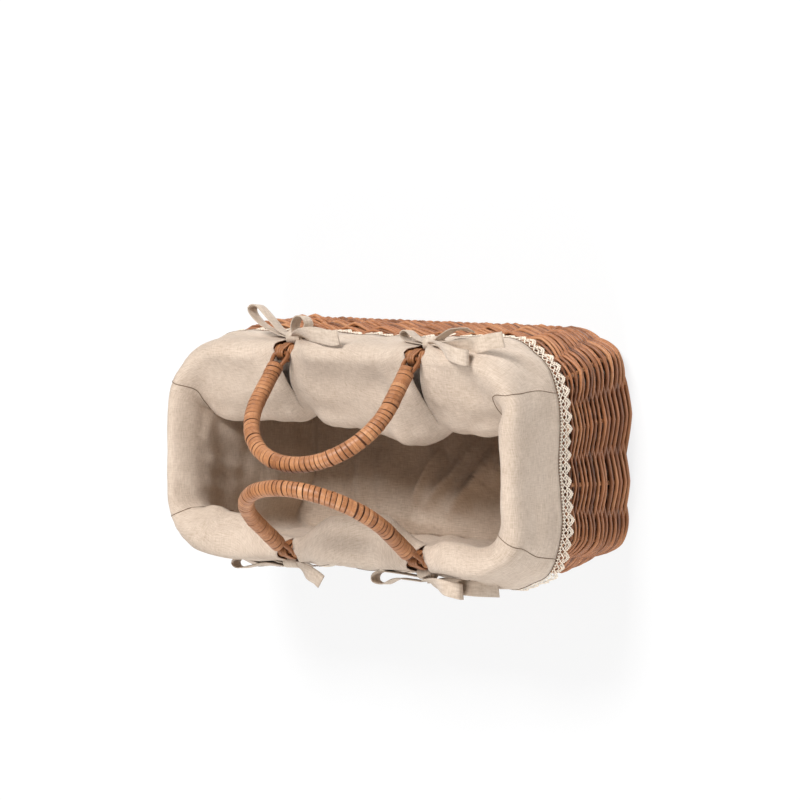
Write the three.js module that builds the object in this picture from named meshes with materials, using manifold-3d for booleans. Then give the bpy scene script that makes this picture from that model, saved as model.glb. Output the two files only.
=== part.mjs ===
// Willow basket bag with rounded corners: a woven body on upright stakes, a linen lining
// whose cuff turns over the border, a lace edging, four tied bows and two swinging handles.
// Millimetres; +Z is up, X runs along the length, the floor is z = 0.

import * as THREE from 'three';
import Module from 'manifold-3d';
import { mergeVertices } from 'three/addons/utils/BufferGeometryUtils.js';

const wasm = await Module();
wasm.setup();

// Woven body
const rimLength = 388;
const rimWidth = 198;
const rimCorner = 58;
const baseLength = 410;
const baseWidth = 222;
const baseCorner = 52;
const bodyHeight = 185;
const wallBulge = 8;
const stakeCount = 28;
const stakeThickness = 4.4;
const rodThickness = 3.2;
const courseCount = 10;
const footRodThickness = 4;
const footRodHeight = 5.2;
const borderThickness = 14;
const endSpread = 0.6;

// Woven base
const baseStickCount = 5;
const baseStickThickness = 7;
const baseStrandCount = 9;
const baseStrandThickness = 2.4;
const baseLift = 2.6;

// Handles and their lashings
const handleSpan = 150;
const handleReach = 130;
const handleShift = 8;
const handleThickness = 13;
const wrapThickness = 1.2;
const wrapTurns = 24;
const crownShift = 8.8;
const eyeBar = 5;
const lashingTurns = 3;
const lashingCane = 2.2;

// Linen lining, lace and bows
const clothThickness = 2;
const liningSeamHeight = 150;
const liningSlack = 78;
const cuffHemHeight = 133;
const crestRise = 11;
const crestLift = 11;
const crestSwell = 9;
const innerPuff = 28;
const foldDepth = 5;
const slitWidth = 28;
const slitFootWidth = 8;
const laceDepth = 18;
const scallopDepth = 4;
const scallopPitch = 19.5;
const bowHeight = 162;
const tapeWidth = 15;
const loopLength = 40;
const tailLength = 52;

// Clearances
const gap = 0.4;
const weaveGap = 0.6;
const turnGap = 0.55;
const swingGap = 0.5;
const crownGap = 4;

const wallDepth = stakeThickness + 2 * (weaveGap + rodThickness);
const halfWall = wallDepth / 2;
const borderRadius = borderThickness / 2;
const borderHeight = bodyHeight - borderRadius;
const stakeFoot = footRodHeight / 2;
const stakeLevels = 4;
const up = new THREE.Vector3(0, 0, 1);

const willow = new THREE.MeshStandardMaterial({ color: 0x8a5a3c, roughness: 0.72, metalness: 0 });
const cane = new THREE.MeshStandardMaterial({ color: 0xab7450, roughness: 0.55, metalness: 0 });
const linen = new THREE.MeshStandardMaterial({ color: 0xc3ab94, roughness: 0.92, metalness: 0 });
const lace = new THREE.MeshStandardMaterial({ color: 0xd9cbb6, roughness: 0.95, metalness: 0 });

const basketBag = new THREE.Group();
basketBag.name = 'basket_bag';

function blend(from, to, share) {
  return from + (to - from) * share;
}

function addPiece(name, geometry, material) {
  const mesh = new THREE.Mesh(geometry, material);
  mesh.name = name;
  basketBag.add(mesh);
}

// Middle line of the wall at one height: a rounded rectangle that swells half way up.
function wallOutline(height) {
  const share = Math.min(Math.max(height / bodyHeight, 0), 1);
  const swell = wallBulge * 4 * share * (1 - share) - halfWall;
  return {
    halfLength: blend(baseLength, rimLength, share) / 2 + swell,
    halfWidth: blend(baseWidth, rimWidth, share) / 2 + swell,
    corner: blend(baseCorner, rimCorner, share) - halfWall,
  };
}

function outlineLength(outline) {
  const straight = outline.halfLength + outline.halfWidth - 2 * outline.corner;
  return 4 * straight + 2 * Math.PI * outline.corner;
}

// Point on the wall, a fraction of the way round from the middle of the +X end,
// pushed out from the middle line by an offset.
function wallPoint(fraction, height, offset) {
  const outline = wallOutline(height);
  const { halfLength, halfWidth, corner } = outline;
  const quarters = 4 * (fraction - Math.floor(fraction));
  const quarter = Math.floor(quarters);
  const local = quarter % 2 === 0 ? quarters - quarter : quarter + 1 - quarters;
  const along = local * outlineLength(outline) / 4;
  const endRun = halfWidth - corner;
  const arcRun = Math.PI * corner / 2;
  const turn = Math.min(Math.max((along - endRun) / corner, 0), Math.PI / 2);
  const normalX = Math.cos(turn);
  const normalY = Math.sin(turn);
  let x = halfLength - corner + corner * normalX;
  let y = endRun + corner * normalY;
  if (along < endRun) {
    y = along;
  }
  if (along > endRun + arcRun) {
    x -= along - endRun - arcRun;
  }
  const signX = quarter === 1 || quarter === 2 ? -1 : 1;
  const signY = quarter >= 2 ? -1 : 1;
  return new THREE.Vector3(signX * (x + offset * normalX), signY * (y + offset * normalY), height);
}

// Half width of the inside at x, or half length at y, for an outline moved by an offset.
function insideReach(across, height, offset, lengthwise) {
  const outline = wallOutline(height);
  const corner = outline.corner + offset;
  const near = (lengthwise ? outline.halfWidth : outline.halfLength) + offset - corner;
  const far = (lengthwise ? outline.halfLength : outline.halfWidth) + offset - corner;
  const past = Math.max(Math.abs(across) - near, 0);
  return far + Math.sqrt(Math.max(corner * corner - past * past, 0));
}

// Fraction round the wall of a stake: even at the rim, spread apart on the ends at the base.
function stakeFraction(index, height) {
  const even = (index + 0.5) / stakeCount;
  const first = 0.6 * Math.sin(4 * Math.PI * even) / (4 * Math.PI);
  const second = 0.4 * Math.sin(8 * Math.PI * even) / (8 * Math.PI);
  const share = Math.min(height / bodyHeight, 1);
  return even + endSpread * (1 - share) * (first + second);
}

// Closed surface through a row of sections with the same number of points each.
function loft(sections, ring) {
  const size = sections[0].length;
  const positions = [];
  const faces = [];
  for (const section of sections) {
    for (const point of section) {
      positions.push(point.x, point.y, point.z);
    }
  }
  const spans = ring ? sections.length : sections.length - 1;
  for (let i = 0; i < spans; i += 1) {
    const here = i * size;
    const next = ((i + 1) % sections.length) * size;
    for (let k = 0; k < size; k += 1) {
      const after = (k + 1) % size;
      faces.push(here + k, next + k, next + after);
      faces.push(here + k, next + after, here + after);
    }
  }
  if (!ring) {
    const last = (sections.length - 1) * size;
    for (const [a, b, c] of flatFaces(sections[0])) {
      faces.push(a, b, c);
    }
    for (const [a, b, c] of flatFaces(sections[sections.length - 1])) {
      faces.push(last + a, last + c, last + b);
    }
  }
  return solid(positions, faces);
}

// Triangles of one flat section, turned the same way round as its points.
function flatFaces(section) {
  const normal = new THREE.Vector3();
  for (let k = 0; k < section.length; k += 1) {
    normal.add(section[k].clone().cross(section[(k + 1) % section.length]));
  }
  normal.normalize();
  const right = section[1].clone().sub(section[0]).normalize();
  right.addScaledVector(normal, -right.dot(normal)).normalize();
  const up = normal.clone().cross(right);
  const flat = section.map((point) => new THREE.Vector2(point.dot(right), point.dot(up)));
  return THREE.ShapeUtils.triangulateShape(flat, []);
}

// Geometry from points and faces, turned so that it faces out.
function solid(positions, faces) {
  let volume = 0;
  const at = (index) => new THREE.Vector3().fromArray(positions, 3 * index);
  for (let i = 0; i < faces.length; i += 3) {
    volume += at(faces[i]).dot(at(faces[i + 1]).cross(at(faces[i + 2])));
  }
  if (volume < 0) {
    for (let i = 0; i < faces.length; i += 3) {
      [faces[i + 1], faces[i + 2]] = [faces[i + 2], faces[i + 1]];
    }
  }
  const geometry = new THREE.BufferGeometry();
  geometry.setAttribute('position', new THREE.Float32BufferAttribute(positions, 3));
  geometry.setIndex(faces);
  return geometry;
}

function toManifold(geometry) {
  const loose = geometry.getIndex() ? geometry.toNonIndexed() : geometry;
  const plain = new THREE.BufferGeometry();
  plain.setAttribute('position', loose.getAttribute('position').clone());
  const merged = mergeVertices(plain, 1e-4);
  return new wasm.Manifold(new wasm.Mesh({
    numProp: 3,
    vertProperties: new Float32Array(merged.getAttribute('position').array),
    triVerts: new Uint32Array(merged.getIndex().array),
  }));
}

function fuse(geometries) {
  const whole = geometries.map(toManifold).reduce((sum, next) => sum.add(next));
  const mesh = whole.getMesh();
  return solid(Array.from(mesh.vertProperties), Array.from(mesh.triVerts));
}

function regularSection(centre, sideways, upward, radius, sides) {
  const points = [];
  for (let k = 0; k < sides; k += 1) {
    const angle = 2 * Math.PI * (k + 0.5) / sides;
    const point = centre.clone();
    point.addScaledVector(sideways, radius * Math.cos(angle));
    point.addScaledVector(upward, radius * Math.sin(angle));
    points.push(point);
  }
  return points;
}

// Least distance between neighbouring turns of a winding, over the points of its sections.
function leastTurnGap(sections, stepsPerTurn) {
  let least = Infinity;
  for (let i = 0; i + stepsPerTurn - 1 < sections.length; i += 1) {
    for (let j = i + stepsPerTurn - 1; j < Math.min(i + stepsPerTurn + 2, sections.length); j += 1) {
      for (const here of sections[i]) {
        for (const there of sections[j]) {
          least = Math.min(least, here.distanceTo(there));
        }
      }
    }
  }
  return least;
}

// Centre of a stake at a height, with the directions out of the wall and along it.
// A stake is straight between a few levels.
function stakeAt(index, height) {
  const levels = stakeLevels * (height - stakeFoot) / (borderHeight - stakeFoot);
  const lower = Math.min(Math.max(Math.floor(levels), 0), stakeLevels - 1);
  const heights = [lower, lower + 1].map((level) => blend(stakeFoot, borderHeight, level / stakeLevels));
  const spots = heights.map((level) => wallPoint(stakeFraction(index, level), level, 0));
  const centre = spots[0].clone().lerp(spots[1], levels - lower);
  const fraction = stakeFraction(index, height);
  const outward = wallPoint(fraction, height, 1).sub(wallPoint(fraction, height, 0));
  return { centre, outward, along: up.clone().cross(outward) };
}

// Border with the stakes that are turned down into it
const borderSteps = 56;
const borderSections = [];
for (let i = 0; i < borderSteps; i += 1) {
  const centre = wallPoint(i / borderSteps, borderHeight, 0);
  const outward = wallPoint(i / borderSteps, borderHeight, 1).sub(centre);
  borderSections.push(regularSection(centre, outward, up, borderRadius, 8));
}
const frameSolids = [loft(borderSections, true)];
for (let i = 0; i < stakeCount; i += 1) {
  const sections = [];
  for (let level = 0; level <= stakeLevels; level += 1) {
    const { centre, outward, along } = stakeAt(i, blend(stakeFoot, borderHeight, level / stakeLevels));
    sections.push(regularSection(centre, along, outward, stakeThickness / 2, 6));
  }
  frameSolids.push(loft(sections, false));
}
addPiece('border_and_stakes', fuse(frameSolids), willow);

// A woven ring passes outside one stake and inside the next.
function wovenRing(low, high, thickness, parity) {
  const offset = stakeThickness / 2 + weaveGap + thickness / 2;
  const halfFloat = 1.4 * stakeThickness;
  const sections = [];
  for (let i = 0; i < stakeCount; i += 1) {
    const side = (i + parity) % 2 === 0 ? offset : -offset;
    const { outward, along } = stakeAt(i, (low + high) / 2);
    for (const step of [-halfFloat, halfFloat]) {
      const corners = [[low, 1], [high, 1], [high, -1], [low, -1]];
      sections.push(corners.map(([height, face]) => {
        const point = stakeAt(i, height).centre;
        point.addScaledVector(along, step);
        return point.addScaledVector(outward, side + face * thickness / 2);
      }));
    }
  }
  return loft(sections, true);
}

// Two thick foot rods, then the siding courses up to the lashings under the border
for (let row = 0; row < 2; row += 1) {
  const low = row * (footRodHeight + gap);
  const ring = wovenRing(low, low + footRodHeight, footRodThickness, row);
  addPiece(`foot_rod_${row + 1}`, ring, willow);
}
const lashingThickness = 0.8 * lashingCane;
const sidingFoot = 2 * (footRodHeight + gap);
const sidingTop = borderHeight - borderRadius - lashingThickness - 4 * gap;
const coursePitch = (sidingTop - sidingFoot) / courseCount;
for (let row = 0; row < courseCount; row += 1) {
  const low = sidingFoot + row * coursePitch;
  const ring = wovenRing(low, low + coursePitch - gap, rodThickness, row);
  addPiece(`siding_course_${row + 1}`, ring, willow);
}

// Base: sticks along the length and broad strands woven across them
const footDepth = stakeThickness / 2 + weaveGap + footRodThickness;
const baseEdge = -(Math.max(footDepth, halfWall) + gap);
const strandOffset = baseStickThickness / 2 + gap + baseStrandThickness / 2;
const stickHeight = baseLift + strandOffset + baseStrandThickness / 2;
const baseHalf = wallOutline(0).halfWidth + baseEdge;
const stickPitch = 2 * baseHalf / baseStickCount;
const stickAcross = [];
for (let i = 0; i < baseStickCount; i += 1) {
  const y = (i - (baseStickCount - 1) / 2) * stickPitch;
  stickAcross.push(y);
  const reach = insideReach(Math.abs(y) + baseStickThickness / 2, 0, baseEdge, true);
  const along = new THREE.Vector3(0, 1, 0);
  const ends = [-reach, reach].map((x) => regularSection(
    new THREE.Vector3(x, y, stickHeight), along, up, baseStickThickness / 2, 8));
  addPiece(`base_stick_${i + 1}`, loft(ends, false), willow);
}
const strandRoom = 2 * (wallOutline(0).halfLength + baseEdge);
const strandPitch = strandRoom / baseStrandCount;
for (let i = 0; i < baseStrandCount; i += 1) {
  const x = (i - (baseStrandCount - 1) / 2) * strandPitch;
  const halfBand = (strandPitch - gap) / 2;
  const reach = insideReach(Math.abs(x) + halfBand, 0, baseEdge, false);
  const crossed = stickAcross.filter((y) => Math.abs(y) + baseStickThickness < reach);
  const path = [];
  for (const y of crossed) {
    const side = (stickAcross.indexOf(y) + i) % 2 === 0 ? 1 : -1;
    const height = stickHeight + side * strandOffset;
    path.push([y - baseStickThickness * 0.8, height]);
    path.push([y + baseStickThickness * 0.8, height]);
  }
  path.unshift([-reach, path[0][1]]);
  path.push([reach, path[path.length - 1][1]]);
  const sections = path.map(([y, height]) => [
    new THREE.Vector3(x - halfBand, y, height - baseStrandThickness / 2),
    new THREE.Vector3(x + halfBand, y, height - baseStrandThickness / 2),
    new THREE.Vector3(x + halfBand, y, height + baseStrandThickness / 2),
    new THREE.Vector3(x - halfBand, y, height + baseStrandThickness / 2),
  ]);
  addPiece(`base_strand_${i + 1}`, loft(sections, false), willow);
}

// The handle roots stand between two stakes of the long sides, a little off the middle.
const barReach = Math.SQRT1_2 * eyeBar;
const lashingHalf = (lashingTurns * (lashingCane + turnGap)) / 2 + lashingCane / 2;
const stakeAlong = [];
for (let i = 0; i < stakeCount / 2; i += 1) {
  stakeAlong.push(wallPoint(stakeFraction(i, borderHeight), borderHeight, 0).x);
}
const rootMargin = lashingHalf + stakeThickness / 2 + gap;
function clearOfStakes(x) {
  const lowest = Math.max(...stakeAlong.filter((stake) => stake <= x)) + rootMargin;
  const highest = Math.min(...stakeAlong.filter((stake) => stake > x)) - rootMargin;
  return Math.min(Math.max(x, lowest), highest);
}
const roots = {
  left: clearOfStakes(handleShift - handleSpan / 2),
  right: clearOfStakes(handleShift + handleSpan / 2),
};
const rootX = (roots.right - roots.left) / 2;
const handleMiddle = (roots.right + roots.left) / 2;
const pivotY = wallOutline(borderHeight).halfWidth;
const pivotHeight = borderHeight + borderRadius + swingGap + barReach;

// Lashing: cane wound round the border and through the eye of the handle
const barWind = barReach + swingGap + lashingThickness / 2;
const borderWind = (borderRadius + gap + lashingThickness / 2) * 1.03;
const windDrop = pivotHeight - borderHeight;
const lean = Math.asin((borderWind - barWind) / windDrop);
const topSteps = 4;
const lowSteps = 8;
const windPath = [];
for (let i = 0; i <= lowSteps / 2; i += 1) {
  const angle = blend(-Math.PI / 2, lean, 2 * i / lowSteps);
  windPath.push([angle, borderWind, -windDrop]);
}
for (let i = 0; i <= topSteps; i += 1) {
  const angle = blend(lean, Math.PI - lean, i / topSteps);
  windPath.push([angle, barWind, 0]);
}
for (let i = 0; i < lowSteps / 2; i += 1) {
  const angle = blend(Math.PI - lean, 1.5 * Math.PI, 2 * i / lowSteps);
  windPath.push([angle, borderWind, -windDrop]);
}
function lashing(x, y) {
  const steps = windPath.length * lashingTurns;
  const pitch = lashingCane + turnGap;
  const sections = [];
  for (let i = 0; i <= steps; i += 1) {
    const [angle, radius, drop] = windPath[i % windPath.length];
    const outward = new THREE.Vector3(0, Math.cos(angle), Math.sin(angle));
    const shift = pitch * (i / windPath.length - lashingTurns / 2);
    const centre = new THREE.Vector3(x + shift, y, pivotHeight + drop);
    centre.addScaledVector(outward, radius);
    const section = [];
    for (const [wide, thick] of [[-1, -1], [1, -1], [1, 1], [-1, 1]]) {
      const point = centre.clone();
      point.x += wide * lashingCane / 2;
      point.addScaledVector(outward, thick * lashingThickness / 2);
      section.push(point);
    }
    sections.push(section);
  }
  console.log('least gap between lashing turns', leastTurnGap(sections, windPath.length).toFixed(2));
  return loft(sections, false);
}

// Handle in its own plane: x along the part, z away from the bar, bar along x at the origin
const coreRadius = handleThickness / 2;
const archRadius = rootX;
const wrapInner = coreRadius + gap + archRadius * (1 - Math.cos(Math.PI / 52));
const gripRadius = wrapInner + wrapThickness;
const legTop = handleReach - archRadius;
const eyeTop = eyeBar / 2 + barWind + lashingThickness;
const eyeHalf = lashingHalf + gap;
const cheek = 4.4;
const legFoot = eyeTop + 2;
function archPoint(distance) {
  const arch = Math.PI * archRadius;
  if (distance < legTop) {
    return { x: archRadius, z: distance, turn: 0 };
  }
  if (distance > legTop + arch) {
    return { x: -archRadius, z: 2 * legTop + arch - distance, turn: Math.PI };
  }
  const turn = (distance - legTop) / archRadius;
  return { x: archRadius * Math.cos(turn), z: legTop + archRadius * Math.sin(turn), turn };
}
const archLength = 2 * legTop + Math.PI * archRadius;
function archSpot(distance, angle, radius) {
  const { x, z, turn } = archPoint(distance);
  const swing = radius * Math.cos(angle);
  return new THREE.Vector3(x + swing * Math.cos(turn), radius * Math.sin(angle), z + swing * Math.sin(turn));
}
function handleCore() {
  const stops = [legFoot];
  const archSteps = 26;
  for (let i = 0; i <= archSteps; i += 1) {
    stops.push(legTop + Math.PI * archRadius * i / archSteps);
  }
  stops.push(archLength - legFoot);
  const sections = stops.map((distance) => {
    const section = [];
    for (let k = 0; k < 8; k += 1) {
      section.push(archSpot(distance, Math.PI * k / 4, coreRadius));
    }
    return section;
  });
  const solids = [loft(sections, false)];
  for (const x of [-archRadius, archRadius]) {
    const wide = eyeHalf + cheek;
    const shape = new THREE.Shape();
    shape.moveTo(-wide, -eyeBar / 2);
    shape.lineTo(wide, -eyeBar / 2);
    shape.lineTo(wide, eyeTop);
    shape.lineTo(coreRadius * 0.8, eyeTop + wide);
    shape.lineTo(-coreRadius * 0.8, eyeTop + wide);
    shape.lineTo(-wide, eyeTop);
    const hole = new THREE.Path();
    hole.moveTo(-eyeHalf, eyeBar / 2);
    hole.lineTo(-eyeHalf, eyeTop);
    hole.lineTo(eyeHalf, eyeTop);
    hole.lineTo(eyeHalf, eyeBar / 2);
    shape.holes.push(hole);
    const plate = new THREE.ExtrudeGeometry(shape, { depth: eyeBar, bevelEnabled: false });
    plate.rotateX(Math.PI / 2);
    plate.translate(x, eyeBar / 2, 0);
    solids.push(plate);
  }
  return fuse(solids);
}

// Flat cane wound along the handle from eye to eye in one unbroken strip
const wrapFoot = eyeTop + eyeHalf + cheek + 1;
function handleWrap() {
  const stepsPerTurn = 8;
  const steps = wrapTurns * stepsPerTurn;
  const pitch = (archLength - 2 * wrapFoot) / (wrapTurns + 1);
  const strip = pitch - 2 * turnGap;
  const sections = [];
  for (let i = 0; i <= steps; i += 1) {
    const middle = wrapFoot + pitch / 2 + pitch * i / stepsPerTurn;
    const angle = 2 * Math.PI * i / stepsPerTurn;
    sections.push([
      archSpot(middle - strip / 2, angle, wrapInner),
      archSpot(middle + strip / 2, angle, wrapInner),
      archSpot(middle + strip / 2, angle, gripRadius),
      archSpot(middle - strip / 2, angle, gripRadius),
    ]);
  }
  console.log('least gap between handle turns', leastTurnGap(sections, stepsPerTurn).toFixed(2));
  return loft(sections, false);
}

// The handles lean in until their crowns lie side by side, a little to the front of the middle.
const coreGeometry = handleCore();
const wrapGeometry = handleWrap();
for (const [side, sign] of [['back', 1], ['front', -1]]) {
  const crown = gripRadius + crownGap / 2 - sign * crownShift;
  const tilt = Math.asin((pivotY - crown) / handleReach);
  const pose = new THREE.Matrix4().makeRotationX(sign * tilt);
  pose.setPosition(handleMiddle, sign * pivotY, pivotHeight);
  addPiece(`${side}_handle_core`, coreGeometry.clone().applyMatrix4(pose), cane);
  addPiece(`${side}_handle_wrap`, wrapGeometry.clone().applyMatrix4(pose), cane);
  for (const [end, x] of Object.entries(roots)) {
    addPiece(`${side}_${end}_lashing`, lashing(x, sign * pivotY), cane);
  }
}

// Lining bag: an open shell inside the wall and over the base
const liningOuter = -(halfWall + 2 * gap);
const liningFloor = stickHeight + strandOffset + baseStrandThickness / 2 + gap;
const slitShoulder = borderHeight - borderRadius;
// The lining hangs slack from the back of the rim, furthest in a third of the way down.
function slackAt(fraction, height) {
  const turn = fraction - Math.floor(fraction);
  const fromEnd = THREE.MathUtils.smoothstep(Math.min(turn, 0.5 - turn), 0, 0.12);
  const share = THREE.MathUtils.clamp((height - liningFloor) / (bodyHeight + 3 * gap - liningFloor), 0, 1);
  return liningSlack * fromEnd * Math.sin(Math.PI * share ** 1.6);
}
// A soft bump round the rim, 1 at the middle and gone two and a half widths away.
function bump(fraction, middle, width) {
  const turn = fraction - Math.floor(fraction);
  return Math.exp(-(((turn - middle) / width) ** 2));
}
// The crest stands up at the left end, swells at three corners and puffs inwards at the front.
function liftAt(fraction) {
  return crestLift * bump(fraction, 0.51, 0.07);
}
function swellAt(fraction) {
  const corners = 0.55 * bump(fraction, 0.08, 0.022) + bump(fraction, 0.58, 0.025) + bump(fraction, 0.92, 0.022);
  return crestSwell * Math.min(corners + 0.35 * bump(fraction, 0.51, 0.04), 1);
}
function puffAt(fraction) {
  return innerPuff * (bump(fraction, 0.785, 0.035) + 0.8 * bump(fraction, 0.62, 0.035));
}
function liningBag() {
  const stations = 30;
  const levels = 5;
  const rings = [];
  const ring = (height, offset) => {
    const points = [];
    for (let i = 0; i < stations; i += 1) {
      const fraction = (i + 0.5) / stations;
      const spot = wallPoint(fraction, height, offset);
      points.push(spot.setY(spot.y - slackAt(fraction, height)));
    }
    return points;
  };
  for (let level = 0; level <= levels; level += 1) {
    rings.push(ring(blend(liningFloor, liningSeamHeight, level / levels), liningOuter));
  }
  for (let level = levels; level >= 0; level -= 1) {
    const foot = liningFloor + clothThickness;
    rings.push(ring(blend(foot, liningSeamHeight, level / levels), liningOuter - clothThickness));
  }
  return loft(rings, false);
}
addPiece('lining_bag', liningBag(), linen);

// Cuff: cloth from the lining seam over the border and down the outside to the hem.
// Four flaps, parted by slits at the handle roots, hang in shallow folds.
const crestRadius = borderRadius + 3 * gap + clothThickness / 2;
const hemOffset = Math.max(halfWall, footDepth) + 3 * gap + clothThickness / 2;
// How much further out the wall stands at one height than at another.
function wallDrift(height, reference) {
  return wallOutline(height).halfWidth - wallOutline(reference).halfWidth;
}
// Fraction round the wall of a point at x on the +Y side.
function sideFraction(x, height) {
  const outline = wallOutline(height);
  const start = outline.halfWidth - outline.corner + Math.PI * outline.corner / 2;
  return (start + outline.halfLength - outline.corner - x) / outlineLength(outline);
}
// Slit edges on either side of a handle root: open for the handle, drawn together to the foot,
// which is the hem outside and the lining seam inside.
function slitEdge(height, foot, root, direction) {
  const share = THREE.MathUtils.clamp((slitShoulder - height) / (slitShoulder - foot), 0, 1);
  const half = blend(slitWidth, slitFootWidth, share) / 2;
  return sideFraction(root + direction * half, Math.min(height, borderHeight));
}
const rightEdge = (height, foot, direction) => slitEdge(height, foot, roots.right, direction);
const leftEdge = (height, foot, direction) => slitEdge(height, foot, roots.left, direction);
const flaps = [
  ['right', (height, foot) => [-rightEdge(height, foot, 1), rightEdge(height, foot, 1)], 5],
  ['back', (height, foot) => [rightEdge(height, foot, -1), leftEdge(height, foot, 1)], 3],
  ['left', (height, foot) => [leftEdge(height, foot, -1), 1 - leftEdge(height, foot, -1)], 5],
  ['front', (height, foot) => [1 - leftEdge(height, foot, 1), 1 - rightEdge(height, foot, -1)], 3],
];
function foldAt(share, folds) {
  return foldDepth * (0.5 + 0.5 * Math.cos(2 * Math.PI * folds * share));
}
function cuffPath(fraction, fold) {
  const crestTop = bodyHeight + crestRise - clothThickness / 2;
  const shoulderHeight = bodyHeight - borderRadius / 2;
  const seamOffset = liningOuter - clothThickness / 2;
  const lift = liftAt(fraction);
  const swell = swellAt(fraction);
  const puff = puffAt(fraction);
  return [
    [seamOffset, liningSeamHeight + gap],
    [-crestRadius - wallDrift(slitShoulder, borderHeight) - 0.5 * puff, slitShoulder],
    [-crestRadius - puff, shoulderHeight],
    [-crestRadius * 0.72 - 0.8 * puff, blend(shoulderHeight, crestTop, 0.72) + 0.5 * lift],
    [swell - 0.3 * puff, crestTop + lift],
    [crestRadius * 0.72 + swell, blend(shoulderHeight, crestTop, 0.72) + 0.85 * lift],
    [crestRadius + swell, shoulderHeight + 0.4 * lift],
    [crestRadius + 0.75 * swell + fold * 0.5, blend(shoulderHeight, cuffHemHeight, 0.5)],
    [hemOffset + 0.45 * swell + fold, cuffHemHeight],
  ];
}
// Point on a flap: a share of the way from slit to slit at one height, moved from there.
// Inside the border it hangs forward with the lining.
function flapPoint(edges, share, height, offset, rise) {
  const inside = offset < 0;
  const [from, to] = edges(height, inside ? liningSeamHeight : cuffHemHeight);
  const fraction = blend(from, to, share);
  const spot = wallPoint(fraction, Math.min(height, borderHeight), offset);
  const hang = inside ? slackAt(fraction, height) : 0;
  return spot.set(spot.x, spot.y - hang, height + rise);
}
function cuffFlap(edges, folds) {
  const stations = 4 * folds;
  const half = clothThickness / 2;
  const sections = [];
  for (let i = 0; i <= stations; i += 1) {
    const share = i / stations;
    const path = cuffPath(blend(...edges(borderHeight, cuffHemHeight), share), foldAt(share, folds));
    const upper = [];
    const under = [];
    path.forEach(([offset, height], k) => {
      const before = path[Math.max(k - 1, 0)];
      const after = path[Math.min(k + 1, path.length - 1)];
      const normal = new THREE.Vector2(before[1] - after[1], after[0] - before[0]).normalize();
      if (k === 0 || k === path.length - 1) {
        normal.set(Math.sign(normal.x), 0);
      }
      upper.push(flapPoint(edges, share, height, offset + half * normal.x, half * normal.y));
      under.push(flapPoint(edges, share, height, offset - half * normal.x, -half * normal.y));
    });
    sections.push([...upper, ...under.reverse()]);
  }
  return loft(sections, false);
}

// Lace edging below the hem, with a scalloped lower edge
function laceStrip(edges, folds) {
  const [from, to] = edges(cuffHemHeight, cuffHemHeight);
  const length = (to - from) * outlineLength(wallOutline(cuffHemHeight));
  const scallops = Math.max(2, Math.round(length / scallopPitch));
  const half = 0.35 * clothThickness;
  const drift = wallDrift(cuffHemHeight - laceDepth, cuffHemHeight);
  const sections = [];
  for (let i = 0; i <= 2 * scallops; i += 1) {
    const share = i / (2 * scallops);
    const swell = swellAt(blend(...edges(borderHeight, cuffHemHeight), share));
    const offset = hemOffset + 0.45 * swell + foldAt(share, folds);
    const drop = gap + laceDepth - (i % 2 === 0 ? scallopDepth : 0);
    sections.push([
      flapPoint(edges, share, cuffHemHeight, offset + drift - half, -drop),
      flapPoint(edges, share, cuffHemHeight, offset + drift + half, -drop),
      flapPoint(edges, share, cuffHemHeight, offset + half, -gap),
      flapPoint(edges, share, cuffHemHeight, offset - half, -gap),
    ]);
  }
  return loft(sections, false);
}
for (const [side, edges, folds] of flaps) {
  addPiece(`${side}_cuff`, cuffFlap(edges, folds), linen);
  addPiece(`${side}_lace`, laceStrip(edges, folds), lace);
}

// Bow: a knot with two hollow loops and two hanging tails, x along the wall, y outward
const tapeThickness = 0.8 * clothThickness;
const bowDepth = 0.8 * tapeWidth;
const loopSides = 10;
function bow() {
  const knotHalf = 0.45 * tapeWidth;
  const knot = new THREE.BoxGeometry(2 * knotHalf, bowDepth, 0.9 * tapeWidth);
  knot.translate(0, bowDepth / 2, 0);
  const solids = [knot];
  for (const side of [-1, 1]) {
    const outer = [];
    const inner = [];
    const halfLoop = loopLength / 2;
    const innerLoop = halfLoop - tapeThickness;
    const innerDepth = bowDepth / 2 - tapeThickness;
    for (let k = 0; k < loopSides; k += 1) {
      const angle = 2 * Math.PI * k / loopSides;
      const across = Math.cos(angle);
      const thick = Math.sin(angle);
      outer.push(new THREE.Vector2(halfLoop * across, bowDepth / 2 * thick));
      inner.push(new THREE.Vector2(innerLoop * across, innerDepth * thick));
    }
    const shape = new THREE.Shape(outer);
    shape.holes.push(new THREE.Path(inner));
    const loop = new THREE.ExtrudeGeometry(shape, { depth: tapeWidth, bevelEnabled: false });
    loop.translate(side * (knotHalf + halfLoop - 2 * tapeThickness), bowDepth / 2, -tapeWidth / 2);
    loop.rotateY(side * Math.PI / 15);
    solids.push(loop);
    const tail = new THREE.BoxGeometry(tapeWidth, tapeThickness, tailLength);
    tail.translate(0, bowDepth * 0.55, -tailLength / 2);
    tail.rotateY(-side * Math.PI / 5);
    solids.push(tail);
  }
  return fuse(solids);
}
const bowGeometry = bow();
const bowBack = crestRadius + clothThickness / 2 + 0.46 * foldDepth + gap;
const bowFoot = bowHeight - tailLength;
const bowLean = Math.atan2(wallDrift(bowFoot, bowHeight) + 0.2 * foldDepth, tailLength);
for (const [side, sign] of [['back', 1], ['front', -1]]) {
  for (const [end, x] of Object.entries(roots)) {
    const placed = bowGeometry.clone().rotateX(bowLean);
    if (sign < 0) {
      placed.rotateZ(Math.PI);
    }
    placed.translate(x, sign * (wallOutline(bowHeight).halfWidth + bowBack), bowHeight);
    addPiece(`${side}_${end}_bow`, placed, linen);
  }
}

export default basketBag;
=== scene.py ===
# %% [markdown]
# # A willow basket bag with a linen lining
# The part arrives as plain solids: a woven body, a lining, lace, bows and two handles.
# Here each of them gets the shape and the finish that the real one has. We build in
# millimetres, because a basket maker thinks in millimetres, and turn to metres at the end.

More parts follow.
